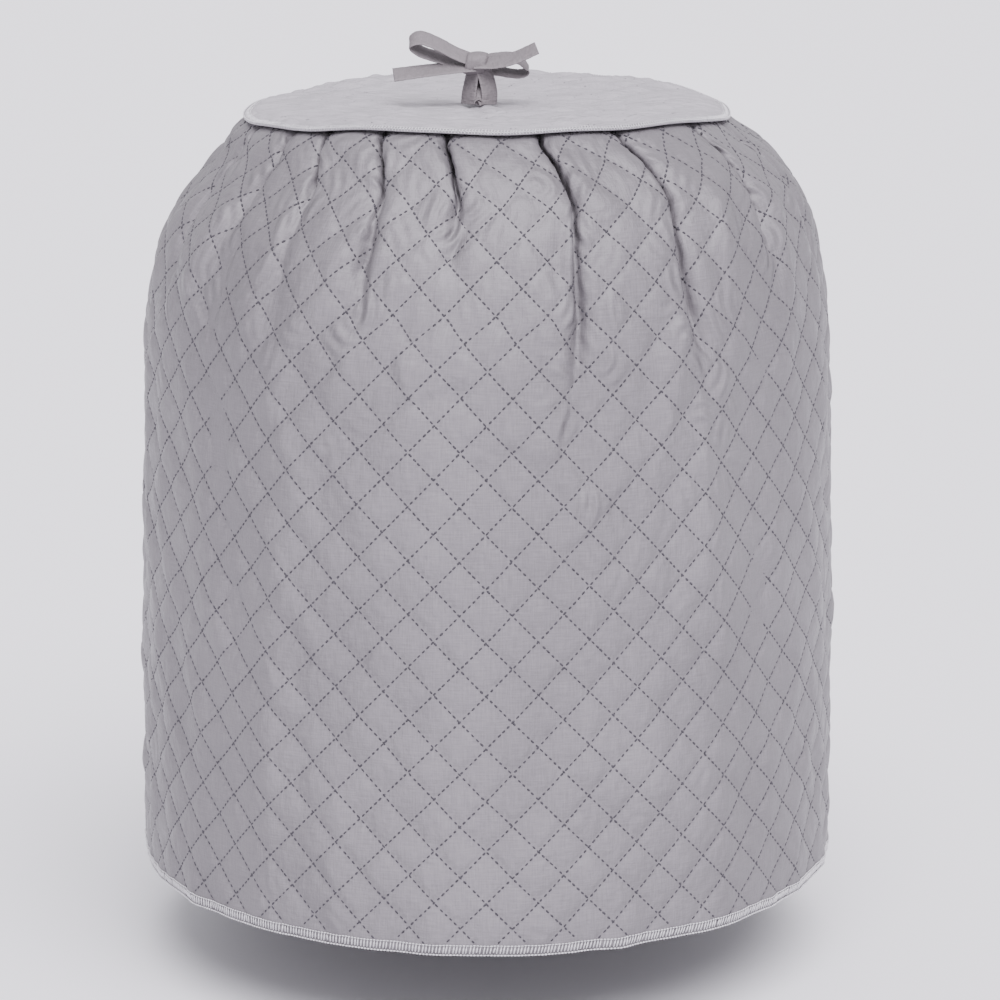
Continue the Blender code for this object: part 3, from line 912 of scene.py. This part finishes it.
    def fold_shares(self, up: float, around: np.ndarray) -> np.ndarray:
        """Return how far the folds draw the cloth in at a height, before it is scaled."""
        below = self.length - up
        whole = self.quilting.cloth_around
        shares = np.zeros_like(around)
        for fold in self.folds:
            down = (below - fold.start) / fold.reach
            rise = 1.0 if fold.start == 0.0 else float(smooth_step(0.0, self.fold_rise, down))
            fade = 1.0 - float(smooth_step(self.fold_hold, 1.0, down))
            part = min(max(down, 0.0), 1.0)
            centre = (fold.angle + fold.drift * part) / 360.0 * whole
            offset = (around - centre + whole / 2) % whole - whole / 2
            width = fold.width * self.fold_narrowing * (1.0 + self.fold_spread * part)
            shares += fold.share * rise * fade * np.exp(-np.abs(offset / width) ** 1.5)
        return shares

    def soft_waves(self, up: float, around: np.ndarray) -> np.ndarray:
        """Return the shallow hollows that the hanging cloth has all over its lower part."""
        turn = around * FULL_TURN / self.quilting.cloth_around
        rise = up / self.length
        waves = np.sin(3 * turn + 4.0 * rise + 0.5) + 0.7 * np.sin(7 * turn - 6.0 * rise + 1.9)
        waves += 0.5 * np.sin(11 * turn + 9.0 * rise + 0.4)
        return self.soft_wave * (1.0 - waves / 2.2) * smooth_step(0.02, 0.12, self.length - up)

    def gather_row(self, up: float) -> tuple[np.ndarray, np.ndarray, np.ndarray]:
        """Gather the cloth at one height so that it keeps its width along its surface.

        Args:
            up: Metres of cloth up from the hem.

        Returns:
            Places round the cloth, their angles and how far each is drawn in.
        """
        radius, _, radial, _ = self.profile_at(up)
        whole = self.quilting.cloth_around
        around = (np.arange(self.steps_around) / self.steps_around - 0.5) * whole
        shares = self.fold_shares(up, around)
        below = self.length - up
        puckers = self.gather_pucker * (1.0 - smooth_step(self.pucker_from, self.pucker_to, below))
        step = whole / self.steps_around * (1.0 - self.quilt_shrink - puckers)

        def turns(depth: float) -> np.ndarray:
            dips = depth * shares
            ahead = np.roll(dips, -1)
            level = np.maximum(step**2 - (ahead - dips) ** 2, (self.tightest_cloth * step) ** 2)
            return np.sqrt(level) / (radius - radial * (dips + ahead) / 2)

        shallow = float(smooth_step(self.shallow_from, self.shallow_to, below))
        fade = 1.0 - float(smooth_step(self.shallow_to, self.flat_from, below))
        high = (self.deepest_fold + (self.shallow_fold - self.deepest_fold) * shallow) * fade
        low = high if below > self.shallow_to else 0.0
        for _ in range(30):
            middle = (low + high) / 2
            if turns(middle).sum() > FULL_TURN:
                low = middle
            else:
                high = middle
        angles = np.concatenate(([0.0], np.cumsum(turns(low))))
        angles *= FULL_TURN / angles[-1]
        angles = angles[:-1] - math.pi
        angles -= (angles - around * FULL_TURN / whole).mean()
        return around, angles, low * shares + self.soft_waves(up, around)

    def outside(self, across: np.ndarray, up: np.ndarray) -> np.ndarray:
        """Return points on the outer face, and under the hem where up is less than nothing."""
        on_cloth = np.maximum(up, 0.0)
        under = np.minimum(up, 0.0)
        return self.place(across, on_cloth, self.relief(across, on_cloth) + under)

    def place(self, across: np.ndarray, up: np.ndarray, raised: np.ndarray) -> np.ndarray:
        """Return the points of the skirt at places on the cloth, raised by the given heights."""
        row = np.clip(up / self.length, 0.0, 1.0) * (self.steps_up - 1)
        low_row = np.minimum(row.astype(int), self.steps_up - 2)
        part_row = row - low_row
        whole = self.quilting.cloth_around
        column = (across / whole + 0.5) * self.steps_around
        low_column = np.floor(column).astype(int)
        part_column = column - low_column
        turn = np.floor_divide(low_column, self.steps_around)
        low_column = low_column - turn * self.steps_around
        next_column = (low_column + 1) % self.steps_around
        next_turn = turn + (low_column + 1) // self.steps_around

        def blend(grid: np.ndarray, step: float) -> np.ndarray:
            lower = (grid[low_row, low_column] + turn * step) * (1 - part_column)
            lower = lower + (grid[low_row, next_column] + next_turn * step) * part_column
            upper = (grid[low_row + 1, low_column] + turn * step) * (1 - part_column)
            upper = upper + (grid[low_row + 1, next_column] + next_turn * step) * part_column
            return lower * (1 - part_row) + upper * part_row

        angle, dip = blend(self.angles, FULL_TURN), blend(self.dips, 0.0)
        section = self.profile[low_row] * (1 - part_row)[:, None]
        section = section + self.profile[low_row + 1] * part_row[:, None]
        radius, level, radial, vertical = section.T
        out = raised - dip
        reach = radius + radial * out
        return self.form.settle(reach * np.sin(angle), -reach * np.cos(angle), level + vertical * out)

    def off_fold(self, fold: Fold, across: np.ndarray, up: np.ndarray) -> tuple[np.ndarray, np.ndarray]:
        """Return the distance beside a fold's line, and the share of its reach gone by."""
        whole = self.quilting.cloth_around
        down = (self.length - up - fold.start) / fold.reach
        centre = (fold.angle + fold.drift * np.clip(down, 0.0, 1.0)) / 360.0 * whole
        return (across - centre + whole / 2) % whole - whole / 2, down

    def strain(self, across: np.ndarray, up: np.ndarray) -> np.ndarray:
        """Return how hard the cloth is gathered: most beside the narrow folds."""
        pull = np.full_like(across, self.loose_strain)
        for fold in self.folds:
            if fold.width < self.narrow_fold:
                offset, down = self.off_fold(fold, across, up)
                near = np.exp(-((offset / self.strain_width) ** 2))
                near = near * (1.0 - smooth_step(0.45, 1.5, down))
                pull = np.maximum(pull, self.fold_strain * near)
        return pull

    def relief(self, across: np.ndarray, up: np.ndarray) -> np.ndarray:
        """Return the relief of the wadding, the crumpled cloth and the creases."""
        near_top = 1.0 - smooth_step(0.0, self.quilting.height, self.length - up)
        near_hem = 1.0 - smooth_step(0.0, 0.006, up)
        wadding = self.quilting.raised(across, up) * (1.0 - 0.7 * near_hem)
        height = wadding * (1.0 - self.slots(across, up)) + self.crumple(across, up)
        whole = self.quilting.cloth_around
        for crease in self.creases:
            offset = across - crease.angle / 360.0 * whole
            offset = (offset + whole / 2) % whole - whole / 2
            rise = up - crease.height
            slant = math.radians(crease.slant)
            along = offset * math.sin(slant) + rise * math.cos(slant)
            beside = offset * math.cos(slant) - rise * math.sin(slant)
            line = np.exp(-((along / crease.length * 2) ** 4))
            section = 1.0 / np.cosh(beside / crease.width * self.crease_sharpness)
            height = height + self.crease_strength * crease.relief * line * section
        return height * (1.0 - near_top)

    def slots(self, across: np.ndarray, up: np.ndarray) -> np.ndarray:
        """Return where the cloth is pulled flat inside the narrow folds."""
        pulled = np.zeros_like(across)
        for fold in self.folds:
            if fold.width < self.narrow_fold:
                offset, down = self.off_fold(fold, across, up)
                near = np.exp(-((offset / self.slot_width) ** 4))
                near = near * (1.0 - smooth_step(0.3, 0.9, down))
                pulled = np.maximum(pulled, self.slot_pull * near)
        return pulled

    def crumple(self, across: np.ndarray, up: np.ndarray) -> np.ndarray:
        """Return the low, sharp-edged unevenness that satin cloth has everywhere."""
        rng = np.random.default_rng(SEED)
        turn = across * FULL_TURN / self.quilting.cloth_around
        height = np.zeros_like(across)
        for _ in range(self.crumple_layers):
            laps = rng.integers(14, 46)
            climb = rng.uniform(-0.9, 0.9) * FULL_TURN * laps / self.quilting.cloth_around
            bend = rng.uniform(0.4, 1.3) * np.sin(turn * rng.integers(3, 9) + up * rng.uniform(10.0, 45.0))
            phase = turn * laps + up * climb + bend + rng.uniform(0.0, 6.0)
            patch = np.sin(
                turn * rng.integers(2, 8) + up * rng.uniform(-30.0, 30.0) + rng.uniform(0.0, 6.0)
            )
            ridges = 1.0 - 2.0 * np.abs(np.sin(phase / 2))
            height += ridges * np.clip(patch, 0.0, 1.0) * 20.0 / laps
        return height * self.crumple_height

    def fold_edges(self, model: bmesh.types.BMesh) -> list[bmesh.types.BMEdge]:
        """Return the edges of the flat chart that lie close to the narrow folds."""
        middles = np.array([edge.verts[0].co + edge.verts[1].co for edge in model.edges]) / 2
        near = np.zeros(len(middles), dtype=bool)
        for fold in self.folds:
            if fold.width < self.narrow_fold:
                offset, down = self.off_fold(fold, middles[:, 0], middles[:, 1])
                near |= (np.abs(offset) < self.fold_patch[0]) & (down < self.fold_patch[1])
        return [edge for edge, close in zip(model.edges, near) if close]

    def build(
        self, cloth: bpy.types.Material, thread: bpy.types.Material, edging: bpy.types.Material
    ) -> None:
        """Build the cloth, its quilting stitches and its hem.

        Args:
            cloth: Finish of the quilted cloth.
            thread: Finish of the quilting thread.
            edging: Finish of the overlock thread.
        """
        quilting = self.quilting
        columns = 2 * quilting.around * self.cells_per_half
        step_up = quilting.height / 2 / self.cells_per_half
        rows = int(self.length / step_up)
        half = quilting.cloth_around / 2
        model = chart_grid((-half, half, columns), (0.0, rows * step_up, rows))
        seam = [vert for vert in model.verts if quilting.on_seam(vert.co.x, vert.co.y)]
        bmesh.ops.connect_verts(model, verts=seam)
        for vert in model.verts:
            if vert.co.y > (rows - 0.5) * step_up:
                vert.co.y = self.length
        bmesh.ops.subdivide_edges(model, edges=self.fold_edges(model), cuts=1, use_grid_fill=True)
        model = lay_chart("skirt_outside", model, self.outside, self.strain)
        lining = chart_grid((-half, half, self.inner_columns), (0.0, self.length, self.inner_rows))
        bmesh.ops.subdivide_edges(lining, edges=self.fold_edges(lining), cuts=1, use_grid_fill=True)

        def inner(across: np.ndarray, up: np.ndarray) -> np.ndarray:
            return self.place(across, up, np.full_like(across, -quilting.thickness))

        model = joined(model, lay_chart("skirt_inside", lining, inner, inside=True))
        open_edges = [edge for edge in model.edges if edge.is_boundary]
        low = [edge for edge in open_edges if max(vert.co.z for vert in edge.verts) < -0.3]
        high = [edge for edge in open_edges if min(vert.co.z for vert in edge.verts) > -0.1]
        bmesh.ops.bridge_loops(model, edges=low)
        bmesh.ops.bridge_loops(model, edges=high)
        piece = finish_piece("skirt_cloth", model, cloth)
        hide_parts("skirt")
        sewn = [self.stitch_family(thread, slant) for slant in (1, -1)]
        edge_count = int(quilting.cloth_around / Overlock().pitch)
        edge_places = (np.arange(edge_count) / edge_count - 0.5) * quilting.cloth_around
        hem = Overlock().lay("skirt_hem_threads", self.surface, edge_places, 1.0, edging, Slot.SKIRT)

    def stitch_family(self, thread: bpy.types.Material, slant: int) -> bpy.types.Object:
        """Sew every quilting line that leans one way."""
        quilting = self.quilting
        rng = np.random.default_rng(SEED + slant + 1)
        side = math.hypot(quilting.width, quilting.height)
        rise = quilting.stitch_pitch * quilting.height / side
        across, up = [], []
        for line in range(quilting.around):
            start = rng.uniform(0.0, rise)
            levels = np.arange(0.006 + start, self.length - 0.004, rise)
            levels = levels + rng.normal(0.0, 0.00012, len(levels))
            across.append((line + slant * levels / quilting.height) * quilting.width)
            up.append(levels)
        across, up = np.concatenate(across), np.concatenate(up)
        reach = 0.0008
        lean = slant * quilting.width / side * reach
        lift = quilting.height / side * reach
        before, _ = self.surface.at(across - lean, up - lift)
        after, _ = self.surface.at(across + lean, up + lift)
        centre, out = self.surface.at(across, up)
        sizes = np.tile(self.stitch, (len(across), 1))
        sizes[:, 0] *= rng.uniform(0.78, 1.12, len(across))
        sizes[:, 1] *= rng.uniform(0.80, 1.20, len(across))
        name = "skirt_stitches_right" if slant > 0 else "skirt_stitches_left"
        middles = centre + out * self.stitch_proud
        return threads_on(name, middles, unit(after - before), out, sizes, thread)


@dataclass
class Lid:
    """The round of quilted cloth on top, with its overlocked rim."""

    form: HangingForm
    quilting: Quilting
    cells: int = 200
    under_cells: int = 60
    rim_flat: float = 0.007
    rim_thickness: float = 0.0013
    crinkle: float = 0.00050
    crinkle_layers: int = 9
    rim_sewing: Overlock = field(
        default_factory=lambda: Overlock(
            pitch=0.0016, width=0.0036, thread=0.00062, slant=0.0007, wall=0.0011
        )
    )
    stitch: tuple[float, float, float] = (0.0021, 0.0005, 0.0004)
    stitch_proud: float = 0.0001
    stitch_margin: float = 0.0065

    def spread(self, across: np.ndarray, back: np.ndarray) -> tuple[np.ndarray, np.ndarray]:
        """Spread a square chart over the round of the lid."""
        side = self.form.lid_radius
        across, back = across / side, back / side
        return across * np.sqrt(1 - back**2 / 2) * side, back * np.sqrt(1 - across**2 / 2) * side

    def top_height(self, x: np.ndarray, y: np.ndarray) -> np.ndarray:
        """Return the height of the quilted face above the sagging underside."""
        reach = np.hypot(x, y)
        edge = self.form.lid_radius
        inner = 1.0 - smooth_step(edge - self.rim_flat, edge - 0.002, reach)
        rng = np.random.default_rng(SEED + 7)
        waves = np.zeros_like(x)
        for _ in range(self.crinkle_layers):
            pitch = rng.uniform(0.008, 0.014)
            lean = rng.normal(0.0, 0.12)
            short_bend = rng.uniform(0.8, 1.6) * np.sin(
                x / rng.uniform(0.006, 0.013) + y * 40 + rng.uniform(0, 6)
            )
            long_bend = rng.uniform(0.8, 2.0) * np.sin(x / rng.uniform(0.02, 0.04) + rng.uniform(0, 6))
            bend = short_bend + long_bend
            phase = (y + lean * x) * FULL_TURN / pitch + bend
            patch = np.sin(x / rng.uniform(0.015, 0.04) + rng.uniform(0, 6))
            patch = patch + np.sin(y / rng.uniform(0.010, 0.03) + rng.uniform(0, 6))
            waves += (1.0 - 2.0 * np.abs(np.sin(phase / 2))) * np.clip(patch, 0.0, 1.2)
        squeezed = self.rim_thickness + (self.quilting.thickness - self.rim_thickness) * inner
        return squeezed + (self.quilting.raised(x, y) + waves * self.crinkle) * inner

    def point(self, x: np.ndarray, y: np.ndarray, height: np.ndarray) -> np.ndarray:
        """Place points of the lid at a height above its underside."""
        return self.form.settle(x, y, self.form.sag(np.hypot(x, y)) + height)

    def build(
        self, cloth: bpy.types.Material, thread: bpy.types.Material, edging: bpy.types.Material
    ) -> None:
        """Build the lid, its quilting stitches and its rim.

        Args:
            cloth: Finish of the quilted cloth.
            thread: Finish of the quilting thread.
            edging: Finish of the overlock thread.
        """
        model = self.face(self.cells, True)
        model = joined(model, self.face(self.under_cells, False))
        bmesh.ops.bridge_loops(model, edges=[edge for edge in model.edges if edge.is_boundary])
        piece = finish_piece("lid_cloth", model, cloth)
        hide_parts("lid")
        sewn = self.stitches(thread)
        rim = self.rim(edging)

    def face(self, cells: int, top: bool) -> bmesh.types.BMesh:
        """Lay the upper or the lower face of the lid as a fine grid."""

        def place(across: np.ndarray, back: np.ndarray) -> np.ndarray:
            x, y = self.spread(across, back)
            return self.point(x, y, self.top_height(x, y) if top else np.zeros_like(x))

        side = self.form.lid_radius
        chart = chart_grid((-side, side, cells), (-side, side, cells))
        return lay_chart("lid_face", chart, place, inside=not top)

    def stitches(self, thread: bpy.types.Material) -> bpy.types.Object:
        """Sew the quilting lines of the lid."""
        quilting = self.quilting
        rng = np.random.default_rng(SEED + 9)
        side = math.hypot(quilting.width, quilting.height)
        rise = quilting.stitch_pitch * quilting.height / side
        radius = self.form.lid_radius
        centres, ahead = [], []
        for slant in (1, -1):
            for line in range(-12, 13):
                levels = np.arange(-radius, radius, rise) + rng.uniform(0.0, rise)
                across = (line + slant * levels / quilting.height) * quilting.width
                kept = np.hypot(across, levels) < radius - self.stitch_margin
                centres.append(np.stack((across[kept], levels[kept]), axis=-1))
                along = (slant * quilting.width / side, quilting.height / side)
                ahead.append(np.tile(along, (kept.sum(), 1)))
        flat, ahead = np.concatenate(centres), np.concatenate(ahead) * 0.0008

        def place(at: np.ndarray) -> np.ndarray:
            return self.point(at[:, 0], at[:, 1], self.top_height(at[:, 0], at[:, 1]))

        before, after, centre = place(flat - ahead), place(flat + ahead), place(flat)
        out = np.tile((0.0, 0.0, 1.0), (len(flat), 1))
        sizes = np.tile(self.stitch, (len(flat), 1))
        middles = centre + out * self.stitch_proud
        return threads_on("lid_stitches", middles, unit(after - before), out, sizes, thread)

    def rim(self, edging: bpy.types.Material) -> bpy.types.Object:
        """Sew the overlocked rim on a narrow band of the lid."""

        def place(across: np.ndarray, inwards: np.ndarray) -> np.ndarray:
            reach = self.form.lid_radius - np.maximum(inwards, 0.0)
            turn = across / self.form.lid_radius
            x, y = reach * np.sin(turn), -reach * np.cos(turn)
            return self.point(x, y, self.top_height(x, y) + np.minimum(inwards, 0.0))

        girth = FULL_TURN * self.form.lid_radius
        count = int(girth / self.rim_sewing.pitch)
        places = (np.arange(count) / count - 0.5) * girth
        return self.rim_sewing.lay("lid_rim_threads", Surface(place), places, 1.0, edging, Slot.LID)


@dataclass(frozen=True)
class TapePoint:
    """One place on the middle of the tape.

    The tape's width points from front to back, turned up by the tilt and to the right by
    the turn, in degrees.
    """

    x: float
    y: float
    z: float
    tilt: float
    turn: float


@dataclass
class Tie:
    """The tape: two straps out of the lid, a knot, two loops and two free ends."""

    width: float = 0.010
    thickness: float = 0.0011
    foot: float = 0.0043
    knot: tuple[float, float, float] = (-0.0058, -0.0060, 0.0255)
    knot_length: float = 0.0108
    knot_half: tuple[float, float] = (0.0068, 0.0062)
    knot_squareness: float = 0.8
    knot_lean: float = 0.0012
    ripple: float = 0.00010
    steps: int = 60

    def runs(self) -> dict[str, tuple[TapePoint, ...]]:
        """Return each run of the tape as the points that its middle passes through."""
        foot = self.foot
        return {
            "left_loop": (
                TapePoint(-0.0045, -0.0070, 0.0265, 35.0, 0.0),
                TapePoint(-0.0155, -0.0075, 0.0305, 38.0, 0.0),
                TapePoint(-0.0260, -0.0080, 0.0360, 40.0, 0.0),
                TapePoint(-0.0350, -0.0080, 0.0390, 40.0, 0.0),
                TapePoint(-0.0400, -0.0070, 0.0360, 36.0, 0.0),
                TapePoint(-0.0345, -0.0050, 0.0315, 34.0, 0.0),
                TapePoint(-0.0240, -0.0040, 0.0280, 32.0, 0.0),
                TapePoint(-0.0140, -0.0045, 0.0255, 30.0, 0.0),
                TapePoint(-0.0060, -0.0055, 0.0245, 25.0, 0.0),
            ),
            "left_end": (
                TapePoint(-0.0060, -0.0085, 0.0240, 24.0, 0.0),
                TapePoint(-0.0180, -0.0100, 0.0235, 30.0, 0.0),
                TapePoint(-0.0330, -0.0110, 0.0220, 34.0, 0.0),
                TapePoint(-0.0488, -0.0120, 0.0200, 38.0, 0.0),
            ),
            "right_end": (
                TapePoint(-0.0065, -0.0090, 0.0260, 30.0, 0.0),
                TapePoint(0.0050, -0.0105, 0.0265, 34.0, 0.0),
                TapePoint(0.0150, -0.0110, 0.0290, 36.0, 0.0),
                TapePoint(0.0262, -0.0110, 0.0340, 36.0, 0.0),
            ),
            "right_loop": (
                TapePoint(-0.0065, -0.0030, 0.0255, 24.0, 0.0),
                TapePoint(0.0050, 0.0000, 0.0277, 26.0, 0.0),
                TapePoint(0.0150, 0.0020, 0.0273, 26.0, 0.0),
                TapePoint(0.0215, 0.0030, 0.0215, 22.0, 0.0),
                TapePoint(0.0170, 0.0025, 0.0190, 22.0, 0.0),
                TapePoint(0.0070, 0.0005, 0.0205, 24.0, 0.0),
                TapePoint(-0.0055, -0.0030, 0.0230, 24.0, 0.0),
            ),
            "back_strap": (
                TapePoint(-0.0050, -0.0035, 0.0235, 0.0, 90.0),
                TapePoint(-0.0050, -0.0040, 0.0150, 0.0, 90.0),
                TapePoint(-0.0050, -0.0045, foot, 0.0, 90.0),
            ),
            "left_strap": (
                TapePoint(-0.0072, -0.0060, 0.0235, 4.0, -36.0),
                TapePoint(-0.0082, -0.0070, 0.0165, 6.0, -42.0),
                TapePoint(-0.0093, -0.0082, 0.0100, 8.0, -46.0),
                TapePoint(-0.0098, -0.0088, foot, 4.0, -48.0),
            ),
            "right_strap": (
                TapePoint(-0.0022, -0.0070, 0.0235, 0.0, 54.0),
                TapePoint(0.0002, -0.0082, 0.0165, 0.0, 54.0),
                TapePoint(0.0014, -0.0092, 0.0100, 0.0, 54.0),
                TapePoint(0.0012, -0.0096, foot, 0.0, 52.0),
            ),
            "foot": (
                TapePoint(-0.0068, -0.0112, foot + 0.0002, 50.0, 20.0),
                TapePoint(-0.0058, -0.0108, foot + 0.0036, 54.0, 10.0),
                TapePoint(-0.0042, -0.0106, foot + 0.0046, 56.0, 0.0),
                TapePoint(-0.0026, -0.0108, foot + 0.0034, 54.0, 0.0),
                TapePoint(-0.0014, -0.0112, foot + 0.0002, 50.0, 0.0),
            ),
        }

    def build(self, tape: bpy.types.Material) -> None:
        """Build the whole tape as one piece."""
        model = bmesh.new()
        length = 0.0
        for name, points in self.runs().items():
            rows = [(p.x, p.y, p.z, p.tilt, p.turn) for p in points]
            curve = curve_through(rows, self.steps // (len(rows) - 1) + 1)
            length += float(np.linalg.norm(np.diff(curve[:, :3], axis=0), axis=1).sum())
            model = joined(model, self.strip(name, curve, length))
        model = joined(model, self.knot_wrap())
        length += FULL_TURN * 0.005
        piece = finish_piece("tie_tape", model, tape)
        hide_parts("tie")

    def strip(self, name: str, curve: np.ndarray, offset: float) -> bmesh.types.BMesh:
        """Sweep the tape's flat section along one run.

        Args:
            name: Name of the run, for its mesh.
            curve: Rows of x, y, z, tilt and turn.
            offset: Where the run starts along the tape, for the map.

        Returns:
            The closed strip.
        """
        middle = curve[:, :3]
        tangent = unit(np.gradient(middle, axis=0))
        tilt, turn = np.radians(curve[:, 3]), np.radians(curve[:, 4])
        level = np.stack(
            (np.sin(turn) * np.cos(tilt), np.cos(turn) * np.cos(tilt), np.sin(tilt)), axis=-1
        )
        across = unit(level - tangent * (level * tangent).sum(axis=1, keepdims=True))
        up = unit(np.cross(across, tangent))
        places = np.linspace(-0.5, 0.5, 13) * self.width
        edge = 1.0 - np.abs(places / (self.width / 2)) ** 8
        groove = 0.12 * np.exp(-(((np.abs(places) - self.width * 0.36) / 0.0005) ** 2))
        half = self.thickness / 2 * np.maximum(edge - groove, 0.25)
        section_across = np.concatenate((places, places[::-1]))
        section_up = np.concatenate((half, -half[::-1]))
        rng = np.random.default_rng(SEED + len(curve))
        sway = rng.normal(0.0, self.ripple, len(curve))
        ripple = sway[:, None] * np.sin(section_across / self.width * 5)[None]
        points = (
            middle[:, None]
            + across[:, None] * section_across[None, :, None]
            + up[:, None] * (section_up[None] + ripple)[..., None]
        )
        model = self.tube(name, points, section_across, offset)
        ends = [edge for edge in model.edges if edge.is_boundary]
        bmesh.ops.holes_fill(model, edges=ends, sides=0)
        bmesh.ops.recalc_face_normals(model, faces=model.faces)
        return model

    @staticmethod
    def tube(name: str, points: np.ndarray, girth: np.ndarray, offset: float) -> bmesh.types.BMesh:
        """Lay a closed tube through rings of points.

        Args:
            name: Name for the mesh while it is made.
            points: Rings by points by three coordinates.
            girth: Place across the tape at each point of a ring.
            offset: Where the tube starts along the tape.

        Returns:
            The tube, open at both ends.
        """
        rings, count = points.shape[:2]
        travel = np.linalg.norm(np.diff(points.mean(axis=1), axis=0), axis=1)
        travel = np.concatenate(([0.0], np.cumsum(travel)))
        chart = chart_grid((0, count, count), (0, rings - 1, rings - 1))

        def place(column: np.ndarray, row: np.ndarray) -> np.ndarray:
            return points[np.rint(row).astype(int), np.rint(column).astype(int) % count]

        model = lay_chart(name, chart, place)
        layer = model.loops.layers.uv["cloth"]
        for face in model.faces:
            for loop in face.loops:
                column, row = loop[layer].uv
                loop[layer].uv = (girth[round(column) % count], offset + travel[round(row)])
        return model

    def knot_wrap(self) -> bmesh.types.BMesh:
        """Wrap a short length of the tape round the crossing of the loops."""
        turns = np.linspace(0.0, FULL_TURN, 48, endpoint=False)
        places = np.linspace(-0.5, 0.5, 9)
        squeeze = 1.0 - 0.16 * (2 * np.abs(places)) ** 2
        outer = []
        for turn in turns:
            half_depth, half_height = self.knot_half
            y = half_depth * math.copysign(abs(math.cos(turn)) ** self.knot_squareness, math.cos(turn))
            z = half_height * math.copysign(abs(math.sin(turn)) ** self.knot_squareness, math.sin(turn))
            lean = self.knot_lean * math.sin(turn)
            ring = zip(places * self.knot_length + lean, squeeze)
            outer.append([(x, y * tight, z * tight) for x, tight in ring])
        points = np.swapaxes(np.array(outer) + np.array(self.knot), 0, 1)
        model = self.tube("knot", points, turns * 0.006, 0.0)
        ends = [edge for edge in model.edges if edge.is_boundary]
        bmesh.ops.holes_fill(model, edges=ends, sides=0)
        bmesh.ops.recalc_face_normals(model, faces=model.faces)
        return model


@dataclass
class Studio:
    """The pale floor, the soft lights and the camera."""

    floor_z: float = -0.455
    camera_place: tuple[float, float, float] = (0.0069, -1.88, 0.236)
    camera_pitch: float = 13.37
    lens_mm: float = 128.8
    sky_strength: float = 1.02
    sun_strength: float = 4.9
    sun_height: float = 60.0
    sun_side: float = 17.0
    sun_spread: float = 50.0
    sky_shade: str = "#faf8ff"
    sun_shade: str = "#fbf8ff"
    paper_reach: float = 12.0

    def build(self, paper: bpy.types.Material) -> None:
        """Build the floor, the lights, the sky and the camera."""
        self.floor(paper)
        self.camera()
        self.sun()
        world = bpy.data.worlds.new("studio")
        bpy.context.scene.world = world
        world.use_nodes = True
        back = world.node_tree.nodes["Background"]
        back.inputs["Color"].default_value = linear(self.sky_shade)
        back.inputs["Strength"].default_value = self.sky_strength

    def sun(self) -> None:
        """Add the large soft light that stands in front, above and a little to the right."""
        lamp = bpy.data.lights.new("key", "SUN")
        lamp.angle = math.radians(self.sun_spread)
        lamp.energy = self.sun_strength
        lamp.color = linear(self.sun_shade)[:3]
        item = bpy.data.objects.new("key", lamp)
        item.rotation_euler = (math.radians(90.0 - self.sun_height), 0.0, math.radians(self.sun_side))
        bpy.context.scene.collection.objects.link(item)

    def floor(self, paper: bpy.types.Material) -> None:
        """Lay a wide flat sheet of paper under the cover."""
        model = bmesh.new()
        bmesh.ops.create_grid(model, x_segments=2, y_segments=2, size=self.paper_reach)
        bmesh.ops.translate(model, vec=(0.0, 0.0, self.floor_z), verts=model.verts)
        mesh = bpy.data.meshes.new("floor")
        model.to_mesh(mesh)
        model.free()
        mesh.materials.append(paper)
        sheet = bpy.data.objects.new("floor", mesh)
        bpy.context.scene.collection.objects.link(sheet)

    def camera(self) -> None:
        """Place the camera where the photograph was taken from."""
        lens = bpy.data.cameras.new("camera")
        lens.lens = self.lens_mm
        lens.sensor_width = 36.0
        item = bpy.data.objects.new("camera", lens)
        item.location = self.camera_place
        item.rotation_euler = (math.radians(90.0 - self.camera_pitch), 0.0, 0.0)
        bpy.context.scene.collection.objects.link(item)
        bpy.context.scene.camera = item


def main() -> None:
    """Build the cover and its studio."""
    logging.basicConfig(level=logging.INFO, format="%(message)s")
    cloth = WovenPolyester("woven_polyester_quilted", "#8b878b", "#757175").build()
    # Painted light: the lid is the skirt's cloth, drawn lighter because the top light falls on it.
    lid_cloth = WovenPolyester(
        "woven_polyester_quilted_lid_painted_top_light",
        "#b6b2b7",
        "#9e9a9f",
        crinkle_m=(0.026, 0.0050),
        grazing_painted_shade=1.0,
        crinkle_bump=1.0,
        # strong painted light and shade along the lid's crinkles
        crinkle_painted_shade=2.2,
    ).build()
    tape = WovenPolyester(
        "woven_polyester_folded_tape",
        "#8d8689",
        "#797376",
        yarn_m=0.0004,
        slub_m=0.003,
        crinkle_m=(0.004, 0.004),
        roughness=0.62,
    ).build()
    thread = SewingThread("spun_polyester_quilting_thread", "#46434a", "#333136").build()
    # Painted light: the lid's stitches use the quilting thread, drawn lighter for the top light on the
    # lid.
    lid_thread = SewingThread("spun_polyester_lid_thread_painted_top_light", "#8f8b91", "#7a767c").build()
    edging = SewingThread("textured_polyester_overlock_thread", "#e0dee1", "#bfbdc1").build()
    form = HangingForm()
    quilting = Quilting()
    Studio().build(PaperSweep().build())
    skirt = Skirt(form, quilting)
    lid = Lid(form, quilting)
    skirt.build(cloth, thread, edging)
    lid.build(lid_cloth, lid_thread, edging)
    Tie().build(tape)


if __name__ == "__main__":
    main()
